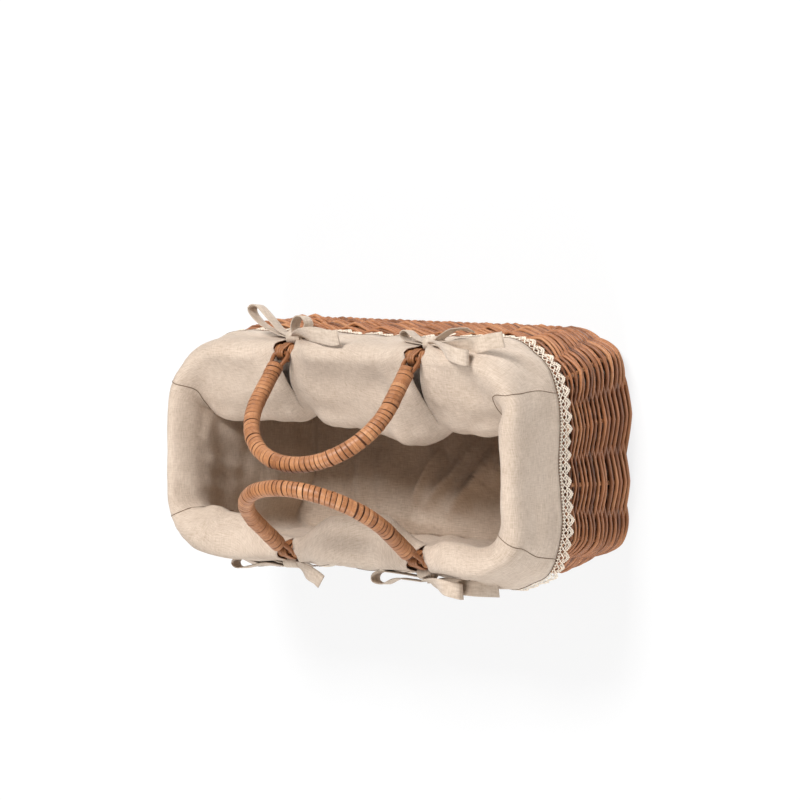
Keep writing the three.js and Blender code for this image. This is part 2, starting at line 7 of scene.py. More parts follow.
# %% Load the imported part
import math

import bpy
import numpy as np
from mathutils import Matrix, Vector, noise


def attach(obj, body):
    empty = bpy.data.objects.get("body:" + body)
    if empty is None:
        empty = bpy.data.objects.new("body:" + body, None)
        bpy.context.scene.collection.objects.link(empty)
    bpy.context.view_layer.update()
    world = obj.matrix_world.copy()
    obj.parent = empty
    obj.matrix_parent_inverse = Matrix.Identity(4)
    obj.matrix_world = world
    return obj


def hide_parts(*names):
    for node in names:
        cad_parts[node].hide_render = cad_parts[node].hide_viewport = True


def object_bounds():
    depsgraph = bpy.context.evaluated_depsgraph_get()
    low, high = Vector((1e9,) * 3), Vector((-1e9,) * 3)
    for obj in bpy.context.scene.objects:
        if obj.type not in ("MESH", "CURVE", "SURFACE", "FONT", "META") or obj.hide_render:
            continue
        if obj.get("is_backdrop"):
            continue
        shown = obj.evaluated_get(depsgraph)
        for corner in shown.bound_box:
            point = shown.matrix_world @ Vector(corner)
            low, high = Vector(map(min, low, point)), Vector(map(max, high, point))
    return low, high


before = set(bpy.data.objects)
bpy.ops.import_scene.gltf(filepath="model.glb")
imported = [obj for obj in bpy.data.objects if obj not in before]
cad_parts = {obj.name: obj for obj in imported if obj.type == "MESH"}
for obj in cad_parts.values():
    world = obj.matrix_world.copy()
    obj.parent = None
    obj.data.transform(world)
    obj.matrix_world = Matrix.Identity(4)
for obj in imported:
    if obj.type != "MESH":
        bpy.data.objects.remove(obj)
cad_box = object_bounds()
scene = bpy.context.scene
MM = 0.001

# %% [markdown]
# ## The camera
# The picture looks down into the basket from beyond its right end, with the back of the
# basket towards the top of the picture. We give the camera a target, three angles and a
# long lens, and build its axes by hand, because an exact frame is easier to repeat than
# a tracking constraint.

# %% Camera
YAW, TILT, ROLL = (math.radians(a) for a in (34.375, 5.701, -0.819))
TARGET = np.array([2.064, 44.368, 93.0])
DISTANCE = 4000.0
FOCAL_PIXELS, PICTURE_PIXELS = 4166.85, 800
toward = np.array([math.sin(YAW) * math.cos(TILT), math.sin(TILT),
                   math.cos(YAW) * math.cos(TILT)])
level = np.array([math.cos(YAW), 0.0, -math.sin(YAW)])
upward = np.cross(toward, level)
right = math.cos(ROLL) * level + math.sin(ROLL) * upward
top = math.cos(ROLL) * upward - math.sin(ROLL) * level

camera_data = bpy.data.cameras.new("camera")
camera_data.lens = FOCAL_PIXELS / PICTURE_PIXELS * camera_data.sensor_width
camera_data.clip_end = 50
camera = bpy.data.objects.new("camera", camera_data)
scene.collection.objects.link(camera)
eye = MM * (TARGET + DISTANCE * toward)
place = Matrix([[right[i], top[i], toward[i], eye[i]] for i in range(3)] + [[0, 0, 0, 1]])
camera.matrix_world = place
scene.camera = camera
print("camera stands at", [round(x, 2) for x in place.translation])

# %% [markdown]
# ## The wall that everything follows
# Rods, cloth and lace all follow one wall: a rounded rectangle that swells half way up.
# The same rule is in the part's source. A place on it is a fraction of the way round,
# starting in the middle of the right end, a height, and how far out it stands. The rim
# and the base are given as length, width and corner radius over the outside.

# %% Wall
RIM = (388.0, 198.0, 58.0)
BASE = (410.0, 222.0, 52.0)
HEIGHT, BULGE, HALF_WALL = 185.0, 8.0, 6.0
BORDER_Z = 178.0
STAKES, STAKE_R = 28, 2.2
ENDS_SHARE, CORNERS_SHARE, SPREAD_AT_BASE = 0.6, 0.4, 0.6
LEFT_ROOT, RIGHT_ROOT = -67.0, 83.0
SIDES = (("back", 1), ("front", -1))


def wall_outline(z):
    share = np.clip(np.asarray(z, float) / HEIGHT, 0, 1)
    swell = BULGE * 4 * share * (1 - share) - HALF_WALL
    half_length = (BASE[0] + (RIM[0] - BASE[0]) * share) / 2 + swell
    half_width = (BASE[1] + (RIM[1] - BASE[1]) * share) / 2 + swell
    corner = BASE[2] + (RIM[2] - BASE[2]) * share - HALF_WALL
    return half_length, half_width, corner


def wall_length(z):
    a, b, c = wall_outline(z)
    return 4 * (a + b - 2 * c) + 2 * math.pi * c


def wall_spot(fraction, z):
    """Point on the middle line of the wall, and the way out of the wall there."""
    fraction, z = np.broadcast_arrays(np.asarray(fraction, float), np.asarray(z, float))
    a, b, c = wall_outline(z)
    quarters = 4 * (fraction - np.floor(fraction))
    quarter = np.minimum(np.floor(quarters), 3)
    local = np.where(quarter % 2 == 0, quarters - quarter, quarter + 1 - quarters)
    along = local * wall_length(z) / 4
    run, arc = b - c, math.pi * c / 2
    turn = np.clip((along - run) / c, 0, math.pi / 2)
    nx, ny = np.cos(turn), np.sin(turn)
    x = a - c + c * nx - np.maximum(along - run - arc, 0)
    y = np.where(along < run, along, run + c * ny)
    sx = np.where((quarter == 1) | (quarter == 2), -1.0, 1.0)
    sy = np.where(quarter >= 2, -1.0, 1.0)
    return np.stack([sx * x, sy * y, z], -1), np.stack([sx * nx, sy * ny, 0 * nx], -1)


def wall_point(fraction, z, offset=0.0):
    spot, out = wall_spot(fraction, z)
    return spot + np.asarray(offset, float)[..., None] * out


def side_fraction(x, z):
    """Fraction round the wall of a point at x on the back."""
    a, b, c = wall_outline(z)
    return (b - c + math.pi * c / 2 + a - c - x) / wall_length(z)


def stake_fraction(index, z):
    """Fraction round the wall of a stake: even at the rim, spread apart on the ends at the base."""
    even = (np.asarray(index, float) + 0.5) / STAKES
    spread = (ENDS_SHARE * np.sin(4 * np.pi * even) / (4 * np.pi)
              + CORNERS_SHARE * np.sin(8 * np.pi * even) / (8 * np.pi))
    return even + SPREAD_AT_BASE * (1 - np.minimum(np.asarray(z, float) / HEIGHT, 1)) * spread


print("round the border:", round(float(wall_length(BORDER_Z))), "mm")

# %% [markdown]
# ## Turning points into pieces
# Willow, cane, thread and tape are all long things, so one sweep makes most of them: it
# carries a small outline along a path. Each vertex also keeps how far along and around it
# is, a tone for its own strand and a share of painted shade, so that a finish can colour every rod
# a little apart and darken its hollows with painted shade.

# %% Sweeping and mesh helpers
RNG = np.random.default_rng(7)
CURVE_STEPS = 16
FLAT_ROUND = 30.0  # millimetres of the flat map that go once round a strand
UPRIGHT = (0, 0, 1)


def unit(v):
    return v / np.maximum(np.linalg.norm(v, axis=-1, keepdims=True), 1e-9)


def smooth(x, low, high):
    t = np.clip((np.asarray(x, float) - low) / (high - low), 0, 1)
    return t * t * (3 - 2 * t)


def walked(line):
    """How far along a line each of its points is."""
    return np.concatenate([[0], np.cumsum(np.linalg.norm(np.diff(line, axis=0), axis=1))])


def spline(points, steps, closed=False):
    """Catmull-Rom curve through the points, evenly spaced along its length."""
    p = np.asarray(points, float)
    if closed:
        ext = np.vstack([p[-1:], p, p[:2]])
    else:
        ext = np.vstack([2 * p[0] - p[1], p, 2 * p[-1] - p[-2]])
    t = np.linspace(0, 1, CURVE_STEPS, endpoint=False)[:, None]
    rows = []
    for a, b, c, d in zip(ext[:-3], ext[1:-2], ext[2:-1], ext[3:]):
        rows.append(0.5 * (2 * b + (c - a) * t + (2 * a - 5 * b + 4 * c - d) * t ** 2
                           + (3 * b - a - 3 * c + d) * t ** 3))
    line = np.vstack(rows + [p[:1] if closed else p[-1:]])
    reach = walked(line)
    want = np.linspace(0, reach[-1], steps + 1)[: steps if closed else steps + 1]
    return np.stack([np.interp(want, reach, line[:, k]) for k in range(line.shape[1])], 1)


class Strands:
    """Collects swept strands into one mesh."""

    def __init__(self):
        self.points, self.faces, self.caps, self.marks = [], [], [], []
        self.count = 0

    def sweep(self, path, outline, hint=None, closed=False, tone=None, scale=1.0, crevice=0.0):
        """outline: (k, 2) across the path; hint: a direction kept as the outline's first axis;
        last: how much painted shade each point of the outline gets, 0 to 1, by how far it lies sunk
        between its neighbours."""
        path = np.asarray(path, float)
        n, k = len(path), len(outline)
        if closed:
            tangent = unit(np.roll(path, -1, 0) - np.roll(path, 1, 0))
        else:
            tangent = unit(np.gradient(path, axis=0))
        if hint is None:
            axes = [unit(np.cross(tangent[0], [0.3, 0.5, 0.81]))]
            for t in tangent[1:]:
                axes.append(unit(axes[-1] - t * np.dot(axes[-1], t)))
            first = np.array(axes)
        else:
            hint = np.broadcast_to(np.asarray(hint, float), path.shape)
            first = unit(hint - tangent * (hint * tangent).sum(-1, keepdims=True))
        second = np.cross(tangent, first)
        size = np.broadcast_to(scale, (n,))[:, None, None]
        across = outline[None, :, :1] * first[:, None] + outline[None, :, 1:] * second[:, None]
        rings = path[:, None] + size * across
        tone = RNG.random() if tone is None else tone
        marks = np.stack(np.broadcast_arrays(
            np.asarray(tone).reshape(-1, 1), walked(path)[:, None], np.arange(k)[None] / k,
            np.asarray(crevice).reshape(1, -1)), -1)
        i = np.arange(n if closed else n - 1)[:, None]
        j = np.arange(k)[None]
        here, there, turn = i * k, ((i + 1) % n) * k, (j + 1) % k
        quads = np.broadcast_arrays(here + j, here + turn, there + turn, there + j)
        self.faces.append(np.stack(quads, -1).reshape(-1, 4) + self.count)
        self.points.append(rings.reshape(-1, 3))
        self.marks.append(marks.reshape(-1, 4))
        if not closed:
            self.caps.append((self.count + np.arange(k)[::-1]).tolist())
            self.caps.append((self.count + (n - 1) * k + np.arange(k)).tolist())
        self.count += n * k

    def piece(self, name, finish, slot, replaces=(), body="basket"):
        points = np.vstack(self.points)
        faces = np.vstack(self.faces).tolist() + self.caps
        marks = np.vstack(self.marks)
        obj = make_piece(name, points, faces, finish, replaces, body)
        for column, label in enumerate(("tone", "along", "around", "crevice")):
            layer = obj.data.attributes.new(label, "FLOAT", "POINT")
            layer.data.foreach_set("value", marks[:, column].astype(np.float32))
        lay_flat(obj, np.stack([marks[:, 1], FLAT_ROUND * marks[:, 2]], 1))
        return obj


def make_piece(name, points, faces, finish, replaces=(), body="basket"):
    mesh = bpy.data.meshes.new(name)
    mesh.from_pydata((np.asarray(points) * MM).tolist(), [], faces)
    mesh.shade_smooth()
    mesh.materials.append(finish)
    obj = bpy.data.objects.new(name, mesh)
    scene.collection.objects.link(obj)
    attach(obj, body)
    if replaces:
        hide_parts(*replaces)
    print(f"{name}: {len(mesh.vertices)} points, {len(mesh.polygons)} faces")
    return obj


def lay_flat(obj, flat):
    """Keeps the flat cut of a cloth as a UV map in millimetres."""
    layer = obj.data.uv_layers.new(name="cut")
    vertex = np.zeros(len(obj.data.loops), np.int32)
    obj.data.loops.foreach_get("vertex_index", vertex)
    layer.data.foreach_set("uv", flat[vertex].astype(np.float32).ravel())


def round_outline(radius, sides, flat=1.0):
    angle = 2 * np.pi * (np.arange(sides) + 0.5) / sides
    return np.stack([radius * np.cos(angle), flat * radius * np.sin(angle)], 1)


# %% [markdown]
# ## Writing finishes as sums
# A finish is a small network of shader nodes. Drawn by hand it is hard to read, so a
# wrapped socket learns to add and multiply: `1 - mask` makes a Math node by itself. Every
# other node comes from one method that takes its type, its settings and its inputs.

# %% Shader sums
def both_ways(operation):
    """An operator of the class below and its reflected form, as in `mask - 1` and `1 - mask`."""
    return (lambda self, other: self.sum(operation, self, other),
            lambda self, other: self.sum(operation, other, self))


class Shade:
    def __init__(self, socket):
        self.socket = socket
        self.tree = socket.id_data

    @staticmethod
    def add(tree, kind, settings=None, inputs=None, output=0):
        node = tree.nodes.new("ShaderNode" + kind)
        for name, value in (settings or {}).items():
            if name == "stops":
                for spot, _ in value[len(node.color_ramp.elements):]:
                    node.color_ramp.elements.new(spot)
                for element, (spot, colour) in zip(node.color_ramp.elements, value):
                    element.position = spot
                    element.color = colour
            else:
                setattr(node, name, value)
        for key, value in (inputs or {}).items():
            if isinstance(value, Shade):
                tree.links.new(value.socket, node.inputs[key])
            else:
                node.inputs[key].default_value = value
        return Shade(node.outputs[output])

    def sum(self, operation, first, second):
        return Shade.add(self.tree, "Math", {"operation": operation},
                         {0: first, 1: second})

    __add__, __radd__ = both_ways("ADD")
    __sub__, __rsub__ = both_ways("SUBTRACT")
    __mul__, __rmul__ = both_ways("MULTIPLY")

    def __abs__(self):
        return self.sum("ABSOLUTE", self, 0.0)

    def sine(self):
        return self.sum("SINE", self, 0.0)


def srgb(red, green, blue):
    return tuple((c / 255 / 12.92 if c < 10.3 else ((c / 255 + 0.055) / 1.055) ** 2.4)
                 for c in (red, green, blue)) + (1.0,)


def new_finish(name):
    finish = bpy.data.materials.new(name)
    finish.use_nodes = True
    shader = next(n for n in finish.node_tree.nodes if n.type == "BSDF_PRINCIPLED")
    return finish, finish.node_tree, shader


def mixed(tree, factor, first, second):
    return Shade.add(tree, "Mix", {"data_type": "RGBA"},
                     {0: factor, 6: first, 7: second}, 2)


def mark(tree, label):
    return Shade.add(tree, "Attribute", {"attribute_name": label}, {}, "Fac")


def cloudy(tree, where, scale, detail=3.0, rough=0.55):
    spot = Shade.add(tree, "CombineXYZ", {}, dict(enumerate(where)))
    return Shade.add(tree, "TexNoise", {}, {
        "Vector": spot, "Scale": scale, "Detail": detail, "Roughness": rough})


def ramp(tree, factor, *stops):
    return Shade.add(tree, "ValToRGB", {"stops": stops}, {"Fac": factor})


def link(shade, shader, socket):
    shade.tree.links.new(shade.socket, shader.inputs[socket])


def constants(shader, values):
    for socket, value in values.items():
        shader.inputs[socket].default_value = value


def bump(tree, height, strength, distance):
    return Shade.add(tree, "Bump", {}, {
        "Height": height, "Strength": strength, "Distance": distance})


print("middle grey is", [round(c, 3) for c in srgb(188, 188, 188)])

# %% [markdown]
# ## Stained willow and flat cane
# Willow rods are peeled, boiled and stained, so each rod has its own tone, with fine
# streaks along it and a satin skin. Cane is paler, with long fibres. Both
# finishes read the tone and the place along the strand that the sweep has kept, and both mix in
# painted shade, a very dark brown, on the undersides of rods and at the edges of cane strips.

# %% Willow and cane finishes
# Painted shade: the darkest tone is this share of the dark stain, and the shade mark mixes the skin
# up to this far towards it.
PAINTED_SHADE_DARKNESS, PAINTED_SHADE_STRENGTH = 0.3, 0.8


def strand_finish(name, tones, rough, coat, streak):
    """Three tones of the skin, its roughness, its coat and the number of streaks round it."""
    finish, tree, shader = new_finish(name)
    dark, middle, pale = (srgb(*tone) for tone in tones)
    tone, along, around = mark(tree, "tone"), mark(tree, "along"), mark(tree, "around")
    fibres = cloudy(tree, (along * 0.012, around * streak, tone * 37.0), 3.0, 6.0)
    blotches = cloudy(tree, (along * 0.03, around * 0.6, tone * 91.0), 1.0, 2.0)
    level_of = tone * 0.5 + fibres * 0.55 + blotches * 0.35 - 0.25
    # The darkest stop is painted shade, reached where a rod's tone is lowered behind a stake; the
    # shade mark paints more of it on undersides and strip edges.
    painted_shade_colour = tuple(PAINTED_SHADE_DARKNESS * c for c in dark[:3]) + (1.0,)
    skin = ramp(tree, level_of, (0.0, painted_shade_colour), (0.22, dark), (0.55, middle), (0.9, pale))
    painted_shade_mask = mark(tree, "crevice") * PAINTED_SHADE_STRENGTH
    link(mixed(tree, painted_shade_mask, skin, painted_shade_colour), shader, "Base Color")
    link(rough + 0.22 * fibres, shader, "Roughness")
    link(bump(tree, fibres, 0.35, 0.0005), shader, "Normal")
    constants(shader, {"Coat Weight": coat, "Coat Roughness": 0.35, "Specular IOR Level": 0.4})
    return finish


willow = strand_finish("stained_willow", [(98, 56, 30), (170, 109, 68), (210, 156, 110)],
                       0.36, 0.16, 9.0)
cane = strand_finish("flat_cane", [(128, 77, 42), (176, 119, 77), (206, 155, 110)],
                     0.38, 0.12, 5.0)
heart = strand_finish("handle_heart", [(60, 33, 18), (86, 50, 29), (110, 66, 40)], 0.6, 0.0, 5.0)
print("finishes:", willow.name, cane.name, heart.name)

# %% [markdown]
# ## Stakes and border
# Twenty-eight upright stakes stand in the wall. At the top they are turned down and woven
# into a thick border. The border is mostly under the cloth, so six twisted rods are enough
# to show it in the slits, and they fill the same ring as the solid border.

# %% Stakes and border
STAKE_FOOT_Z = 2.6
BORDER_RODS, BORDER_TWISTS, BORDER_ROD_R, BORDER_TWIST_R = 6, 26, 3.0, 3.9
frame_rods = Strands()
for index in range(STAKES):
    z = np.linspace(STAKE_FOOT_Z, BORDER_Z, 14)
    frame_rods.sweep(wall_point(stake_fraction(index, z), z), round_outline(STAKE_R, 6))
for rod in range(BORDER_RODS):
    turn = np.linspace(0, 1, 300, endpoint=False)
    angle = 2 * np.pi * (rod / BORDER_RODS + BORDER_TWISTS * turn)
    path = wall_point(turn, BORDER_Z, BORDER_TWIST_R * np.cos(angle))
    path[:, 2] += BORDER_TWIST_R * np.sin(angle)
    frame_rods.sweep(path, round_outline(BORDER_ROD_R, 7), closed=True)
frame_rods.piece("border_and_stake_rods", willow, "willow", ["border_and_stakes"])

# %% [markdown]
# ## The woven wall
# The wall is plain randing: one rod at a time goes in front of a stake and behind the next,
# and the row above does the opposite. Seen from outside, every second row bows out over a
# stake, and the rows mesh like a zip between two stakes. A maker keeps the thick rods for the
# bottom and the thin ones for the top, so the rows get lower on the way up. Each row is a real
# rod here, with its own thickness and a little wander, and it bends sharply at the stakes.

# %% Woven wall
WEAVE_FOOT, WEAVE_TOP = 12.2, 169
PITCH_AT_FOOT, PITCH_LOST = 4.6, 1.75
ROD_SHARE = 0.49
CUFF_BEGINS, CUFF_COVERS, OUT_OF_SIGHT = 96, 114, 132
STRAIGHT_SHARE = 0.55


def wander(spread):
    """A value that drifts from stake to stake and comes back to where it began."""
    values = RNG.normal(0, spread, STAKES)
    values = np.append(values, values[:1])
    return lambda stake: np.interp(np.mod(stake, STAKES), np.arange(STAKES + 1), values)


def over_and_under(stake, parity):
    """1 in front of a stake, -1 behind the next, nearly straight between them."""
    turn = np.mod(stake + parity + 1, 2) - 1
    return STRAIGHT_SHARE * (1 - 2 * np.abs(turn)) + (1 - STRAIGHT_SHARE) * np.cos(np.pi * turn)


def round_fraction(stake, z):
    """Fraction round the wall of a place between stakes, counted in stakes."""
    index = np.arange(-1, STAKES + 1)
    return np.interp(stake, index, stake_fraction(index, z))


def hidden_side(outline):
    """The side of a lying rod that faces down and into the wall, which gets painted shade."""
    return np.clip(unit(outline) @ np.array([-0.8, -0.6]), 0, 1)


weave = Strands()
z, row = WEAVE_FOOT, 0
while z < WEAVE_TOP:
    pitch = PITCH_AT_FOOT - PITCH_LOST * float(smooth(z, 5, 110))
    rod = ROD_SHARE * pitch
    steps, corners = (4, 5) if z > OUT_OF_SIGHT else (10, 8)
    stake = np.arange(STAKES * steps) / steps
    wave = over_and_under(stake, row)
    covered = float(smooth(z, CUFF_BEGINS, CUFF_COVERS))
    bow_out, drift = wander(0.9 - 0.75 * covered), wander(0.24 * pitch)
    in_front = STAKE_R + rod + 2.0 - 1.7 * covered + bow_out(stake)
    behind = STAKE_R + rod + 0.1
    path = wall_point(round_fraction(stake, z), z, wave * np.where(wave > 0, in_front, behind))
    path[:, 2] += drift(stake)
    # A rod's tone is its own stain with painted light on it: a little lighter where the rod bows
    # further out, and painted shade where it passes behind a stake.
    tone = np.clip(0.55 + 0.17 * RNG.normal() + 0.1 * bow_out(stake), 0, 1)
    tone -= 0.5 * smooth(-wave, -0.3, 0.5)
    scale = 1 + 0.06 * RNG.normal()
    scale = scale + 0.05 * np.sin(2 * np.pi * (stake / STAKES + RNG.random()))
    outline = round_outline(rod, corners)
    weave.sweep(path, outline, hint=UPRIGHT, closed=True, tone=tone, scale=scale,
                crevice=hidden_side(outline))
    z, row = z + pitch, row + 1
weave.piece("woven_wall", willow, "willow", [f"siding_course_{i}" for i in range(1, 11)])
print("rows of weaving:", row)

# %% [markdown]
# ## The foot rods
# Two thick rods bind the foot of the wall. At the two ends they go in front of one stake and
# behind the next like the rest of the weave. Along the front and the back they twist round each
# other outside the stakes, which gives that edge the look of a rope, and a third rod closes the
# foot behind the stakes. The basket stands on them.

# %% Foot rods
TWISTS, ROPE_HALF = 16, 140
FOOT_R, FOOT_STEPS = 2.25, 44
LOW_ROD_Z, ROPE_Z, HIGH_ROD_Z = 2.7, 4.9, 7.2
ROPE_OUT, ROPE_DEPTH, ROPE_RISE = 3.6, 2.3, 2.4
CLOSING_HALF, FOOT_Z, ROPE_ENDS = 132, 5.0, (128, 150)
foot_rods = Strands()
stake = np.arange(STAKES * FOOT_STEPS) / FOOT_STEPS
fraction = round_fraction(stake, FOOT_Z)
spot, _ = wall_spot(fraction, FOOT_Z)
rope = 1 - smooth(np.abs(spot[:, 0]), *ROPE_ENDS)
from_end = np.where(spot[:, 1] > 0, ROPE_HALF - spot[:, 0], spot[:, 0] - ROPE_HALF)
twist = TWISTS * from_end / (2 * ROPE_HALF)
outline = round_outline(FOOT_R, 8)
for strand, level_z in enumerate((LOW_ROD_Z, HIGH_ROD_Z)):
    woven = over_and_under(stake, strand) * (STAKE_R + FOOT_R + 0.9)
    angle = 2 * np.pi * (twist + 0.75 - strand / 2)
    twisted = ROPE_OUT + ROPE_DEPTH * np.cos(angle)
    path = wall_point(fraction, ROPE_Z, rope * twisted + (1 - rope) * woven)
    path[:, 2] += rope * ROPE_RISE * np.sin(angle) + (1 - rope) * (level_z - ROPE_Z)
    foot_rods.sweep(path, outline, hint=UPRIGHT, closed=True, tone=0.8 - 0.35 * strand * rope,
                    crevice=hidden_side(outline))
for _, sign in SIDES:
    fraction = side_fraction(np.linspace(-CLOSING_HALF, CLOSING_HALF, 60), HIGH_ROD_Z)
    path = wall_point(sign * fraction, HIGH_ROD_Z, -STAKE_R - FOOT_R - 0.1)
    foot_rods.sweep(path, outline, hint=UPRIGHT, tone=0.25)
foot_rods.piece("foot_rods", willow, "willow", ["foot_rod_1", "foot_rod_2"])

# %% [markdown]
# ## The woven base
# Five thick sticks run along the bottom and thin rods are woven across them. Nobody sees it
# in the picture, but a basket is often turned over, so it is woven like the wall.

# %% Woven base
STICKS, STICK_R, STICK_Z, STICK_STEPS = 5, 3.3, 8.9, 12
BASE_ROD_R, BASE_PITCH, BASE_WAVE, BASE_STEPS = 1.65, 3.45, 4.6, 31
EDGE = 7.2
base_rods = Strands()
half_length, half_width, corner = (float(v) for v in wall_outline(0.0))
stick_pitch = 2 * (half_width - EDGE) / STICKS


def base_reach(across, lengthwise):
    """Half the length of a base rod that lies off the middle, inside the rounded foot."""
    round_r = corner - EDGE
    straight = (half_width if lengthwise else half_length) - EDGE - round_r
    far = (half_length if lengthwise else half_width) - EDGE - round_r
    past = max(abs(across) - straight, 0)
    return far + math.sqrt(max(round_r ** 2 - past ** 2, 0))


for y in stick_pitch * (np.arange(STICKS) - STICKS // 2):
    reach = base_reach(abs(y) + 3.5, True)
    x = np.linspace(-reach, reach, STICK_STEPS)
    base_rods.sweep(np.stack([x, 0 * x + y, 0 * x + STICK_Z], 1), round_outline(STICK_R, 8))
for row, x in enumerate(np.arange(-half_length + EDGE + 3, half_length - EDGE - 2, BASE_PITCH)):
    reach = base_reach(abs(x) + 1.8, False)
    y = np.linspace(-reach, reach, BASE_STEPS)
    wave = np.cos(np.pi * (y / stick_pitch + row))
    z = STICK_Z + BASE_WAVE * np.sign(wave) * np.abs(wave) ** 0.8
    base_rods.sweep(np.stack([0 * y + x, y, z], 1), round_outline(BASE_ROD_R, 5), hint=(1, 0, 0))
base_rods.piece("woven_base", willow, "willow",
                [f"base_stick_{i}" for i in range(1, 6)]
                + [f"base_strand_{i}" for i in range(1, 10)])

# %% [markdown]
# ## Handles wound with cane
# A handle is a bent rod whose ends are worked into two eyes. Flat cane is wound tightly
# round it from eye to eye in about seventy turns, with dark slits between the turns. One
# winding of that many turns is a single swept strip here; its gaps and tilt wander, as a
# hand winds it.

# %% Handles
PIVOT_Y, PIVOT_Z, ARCH_R, REACH = 94.619, 189.036, 75.0, 130.0
MIDDLE_X, GRIP_R, GRIP_GAP, GRIPS_Y = 8.0, 8.24, 2, -8.8
LEG = REACH - ARCH_R
ARCH = 2 * LEG + math.pi * ARCH_R
HEART_START, HEART_R = 14, 6.6
TURNS, TURN_STEPS, WIND_START, WIND_R = 68, 22, 14.5, 7.05
EYE_ROD_R = 2.2
EYE = [(-7.0, 1.0), (-3.5, 0), (3.5, 0), (7.0, 1.0), (7.8, 6), (6.4, 13), (3.5, 18), (-3.5, 18),
       (-6.4, 13), (-7.8, 6)]
STRIP = np.array([(-0.6, -2.1), (0.38, -2.2), (0.56, -2.05), (0.62, -1.65), (0.64, 0),
                  (0.62, 1.65), (0.56, 2.05), (0.38, 2.2), (-0.6, 2.1)])
# Painted shade at the edges of each cane strip, darkening the slits between the turns.
STRIP_EDGE_SHADE = np.array([1, 0.8, 0.2, 0, 0, 0, 0.2, 0.8, 1])


def arch_spot(distance):
    """Middle of the handle in its own plane, and the way out from the middle of the arch."""
    distance = np.asarray(distance, float)
    turn = np.clip((distance - LEG) / ARCH_R, 0, math.pi)
    x = ARCH_R * np.cos(turn)
    z = np.minimum(np.minimum(distance, ARCH - distance), LEG) + ARCH_R * np.sin(turn)
    return np.stack([x, 0 * x, z], -1), np.stack([np.cos(turn), 0 * x, np.sin(turn)], -1)


def handle_frame(sign, points):
    """From a handle's own plane to its place, leaning in until the two grips lie side by side."""
    crown = GRIP_R + GRIP_GAP + sign * GRIPS_Y
    lean = sign * math.asin((PIVOT_Y - crown) / REACH)
    x, y, z = np.moveaxis(np.asarray(points, float), -1, 0)
    return np.stack([x + MIDDLE_X,
                     y * math.cos(lean) - z * math.sin(lean) + sign * PIVOT_Y,
                     y * math.sin(lean) + z * math.cos(lean) + PIVOT_Z], -1)


for side, sign in SIDES:
    core = Strands()
    middle, _ = arch_spot(np.linspace(HEART_START, ARCH - HEART_START, 90))
    core.sweep(handle_frame(sign, middle), round_outline(HEART_R, 12))
    core.piece(f"{side}_handle_heart", heart, "cane", [f"{side}_handle_core"], f"{side}_handle")

    wrap = Strands()
    for root in (-ARCH_R, ARCH_R):
        loop = spline([(root + x, 0, z) for x, z in EYE], 48, True)
        wrap.sweep(handle_frame(sign, loop), round_outline(EYE_ROD_R, 8), closed=True, tone=0.2)
    turn = np.arange(TURNS * TURN_STEPS + 1) / TURN_STEPS
    whole = np.arange(TURNS + 1)
    spacing = np.cumsum(np.clip(1 + 0.16 * RNG.normal(size=TURNS + 1), 0.7, 1.5))
    spacing = (spacing - spacing[0]) / (spacing[-1] - spacing[0])
    wound = ARCH - 2 * WIND_START
    middle, out = arch_spot(WIND_START + wound * np.interp(turn, whole, spacing))
    angle = 2 * np.pi * turn + 0.4 * sign
    radial = np.cos(angle)[:, None] * out + np.sin(angle)[:, None] * np.array([0, 1.0, 0])
    ride = WIND_R + 0.12 * np.interp(turn, whole, RNG.normal(size=TURNS + 1))
    path = handle_frame(sign, middle + ride[:, None] * radial)
    hint = handle_frame(sign, middle + (ride[:, None] + 1) * radial) - path
    wide = np.interp(turn, whole[:-1] + 0.5, np.diff(spacing) * TURNS)
    tone = np.interp(turn, whole, np.clip(RNG.normal(0.55, 0.17, TURNS + 1), 0, 1))
    wrap.sweep(path, STRIP, hint=hint, tone=tone, scale=np.clip(wide, 0.8, 1.1),
               crevice=STRIP_EDGE_SHADE)
    wrap.piece(f"{side}_handle_winding", cane, "cane", [f"{side}_handle_wrap"], f"{side}_handle")

# %% [markdown]
# ## Lashings
# Cane goes round the border and through the eye of the handle, three times at each root, and
# holds the handle while letting it swing. The turns stay clear of each other. Ten more turns
# bind the border beside them.

# %% Lashings
ROUND_BORDER_R, THROUGH_EYE_R = 8.6, 4.4
LASH_TURNS, LASH_PITCH = 3, 2.6
BIND_TURNS, BIND_STEPS, BIND_HALF, BIND_R = 10, 14, 15.5, 7.3
LASH_STRIP = np.array([(-0.7, -1.1), (0.3, -1.25), (0.75, 0), (0.3, 1.25), (-0.7, 1.1)])
BIND_STRIP = np.array([(-0.4, -1.3), (0.3, -1.4), (0.42, 0), (0.3, 1.4), (-0.4, 1.3)])
drop = PIVOT_Z - BORDER_Z
lean = math.asin((ROUND_BORDER_R - THROUGH_EYE_R) / drop)


def bend(radius, below, start, end):
    """Part of a turn of cane, out of the wall and up from the middle of the eye."""
    angle = np.linspace(start, end, 9)
    return np.stack([radius * np.cos(angle), radius * np.sin(angle) - below], 1)


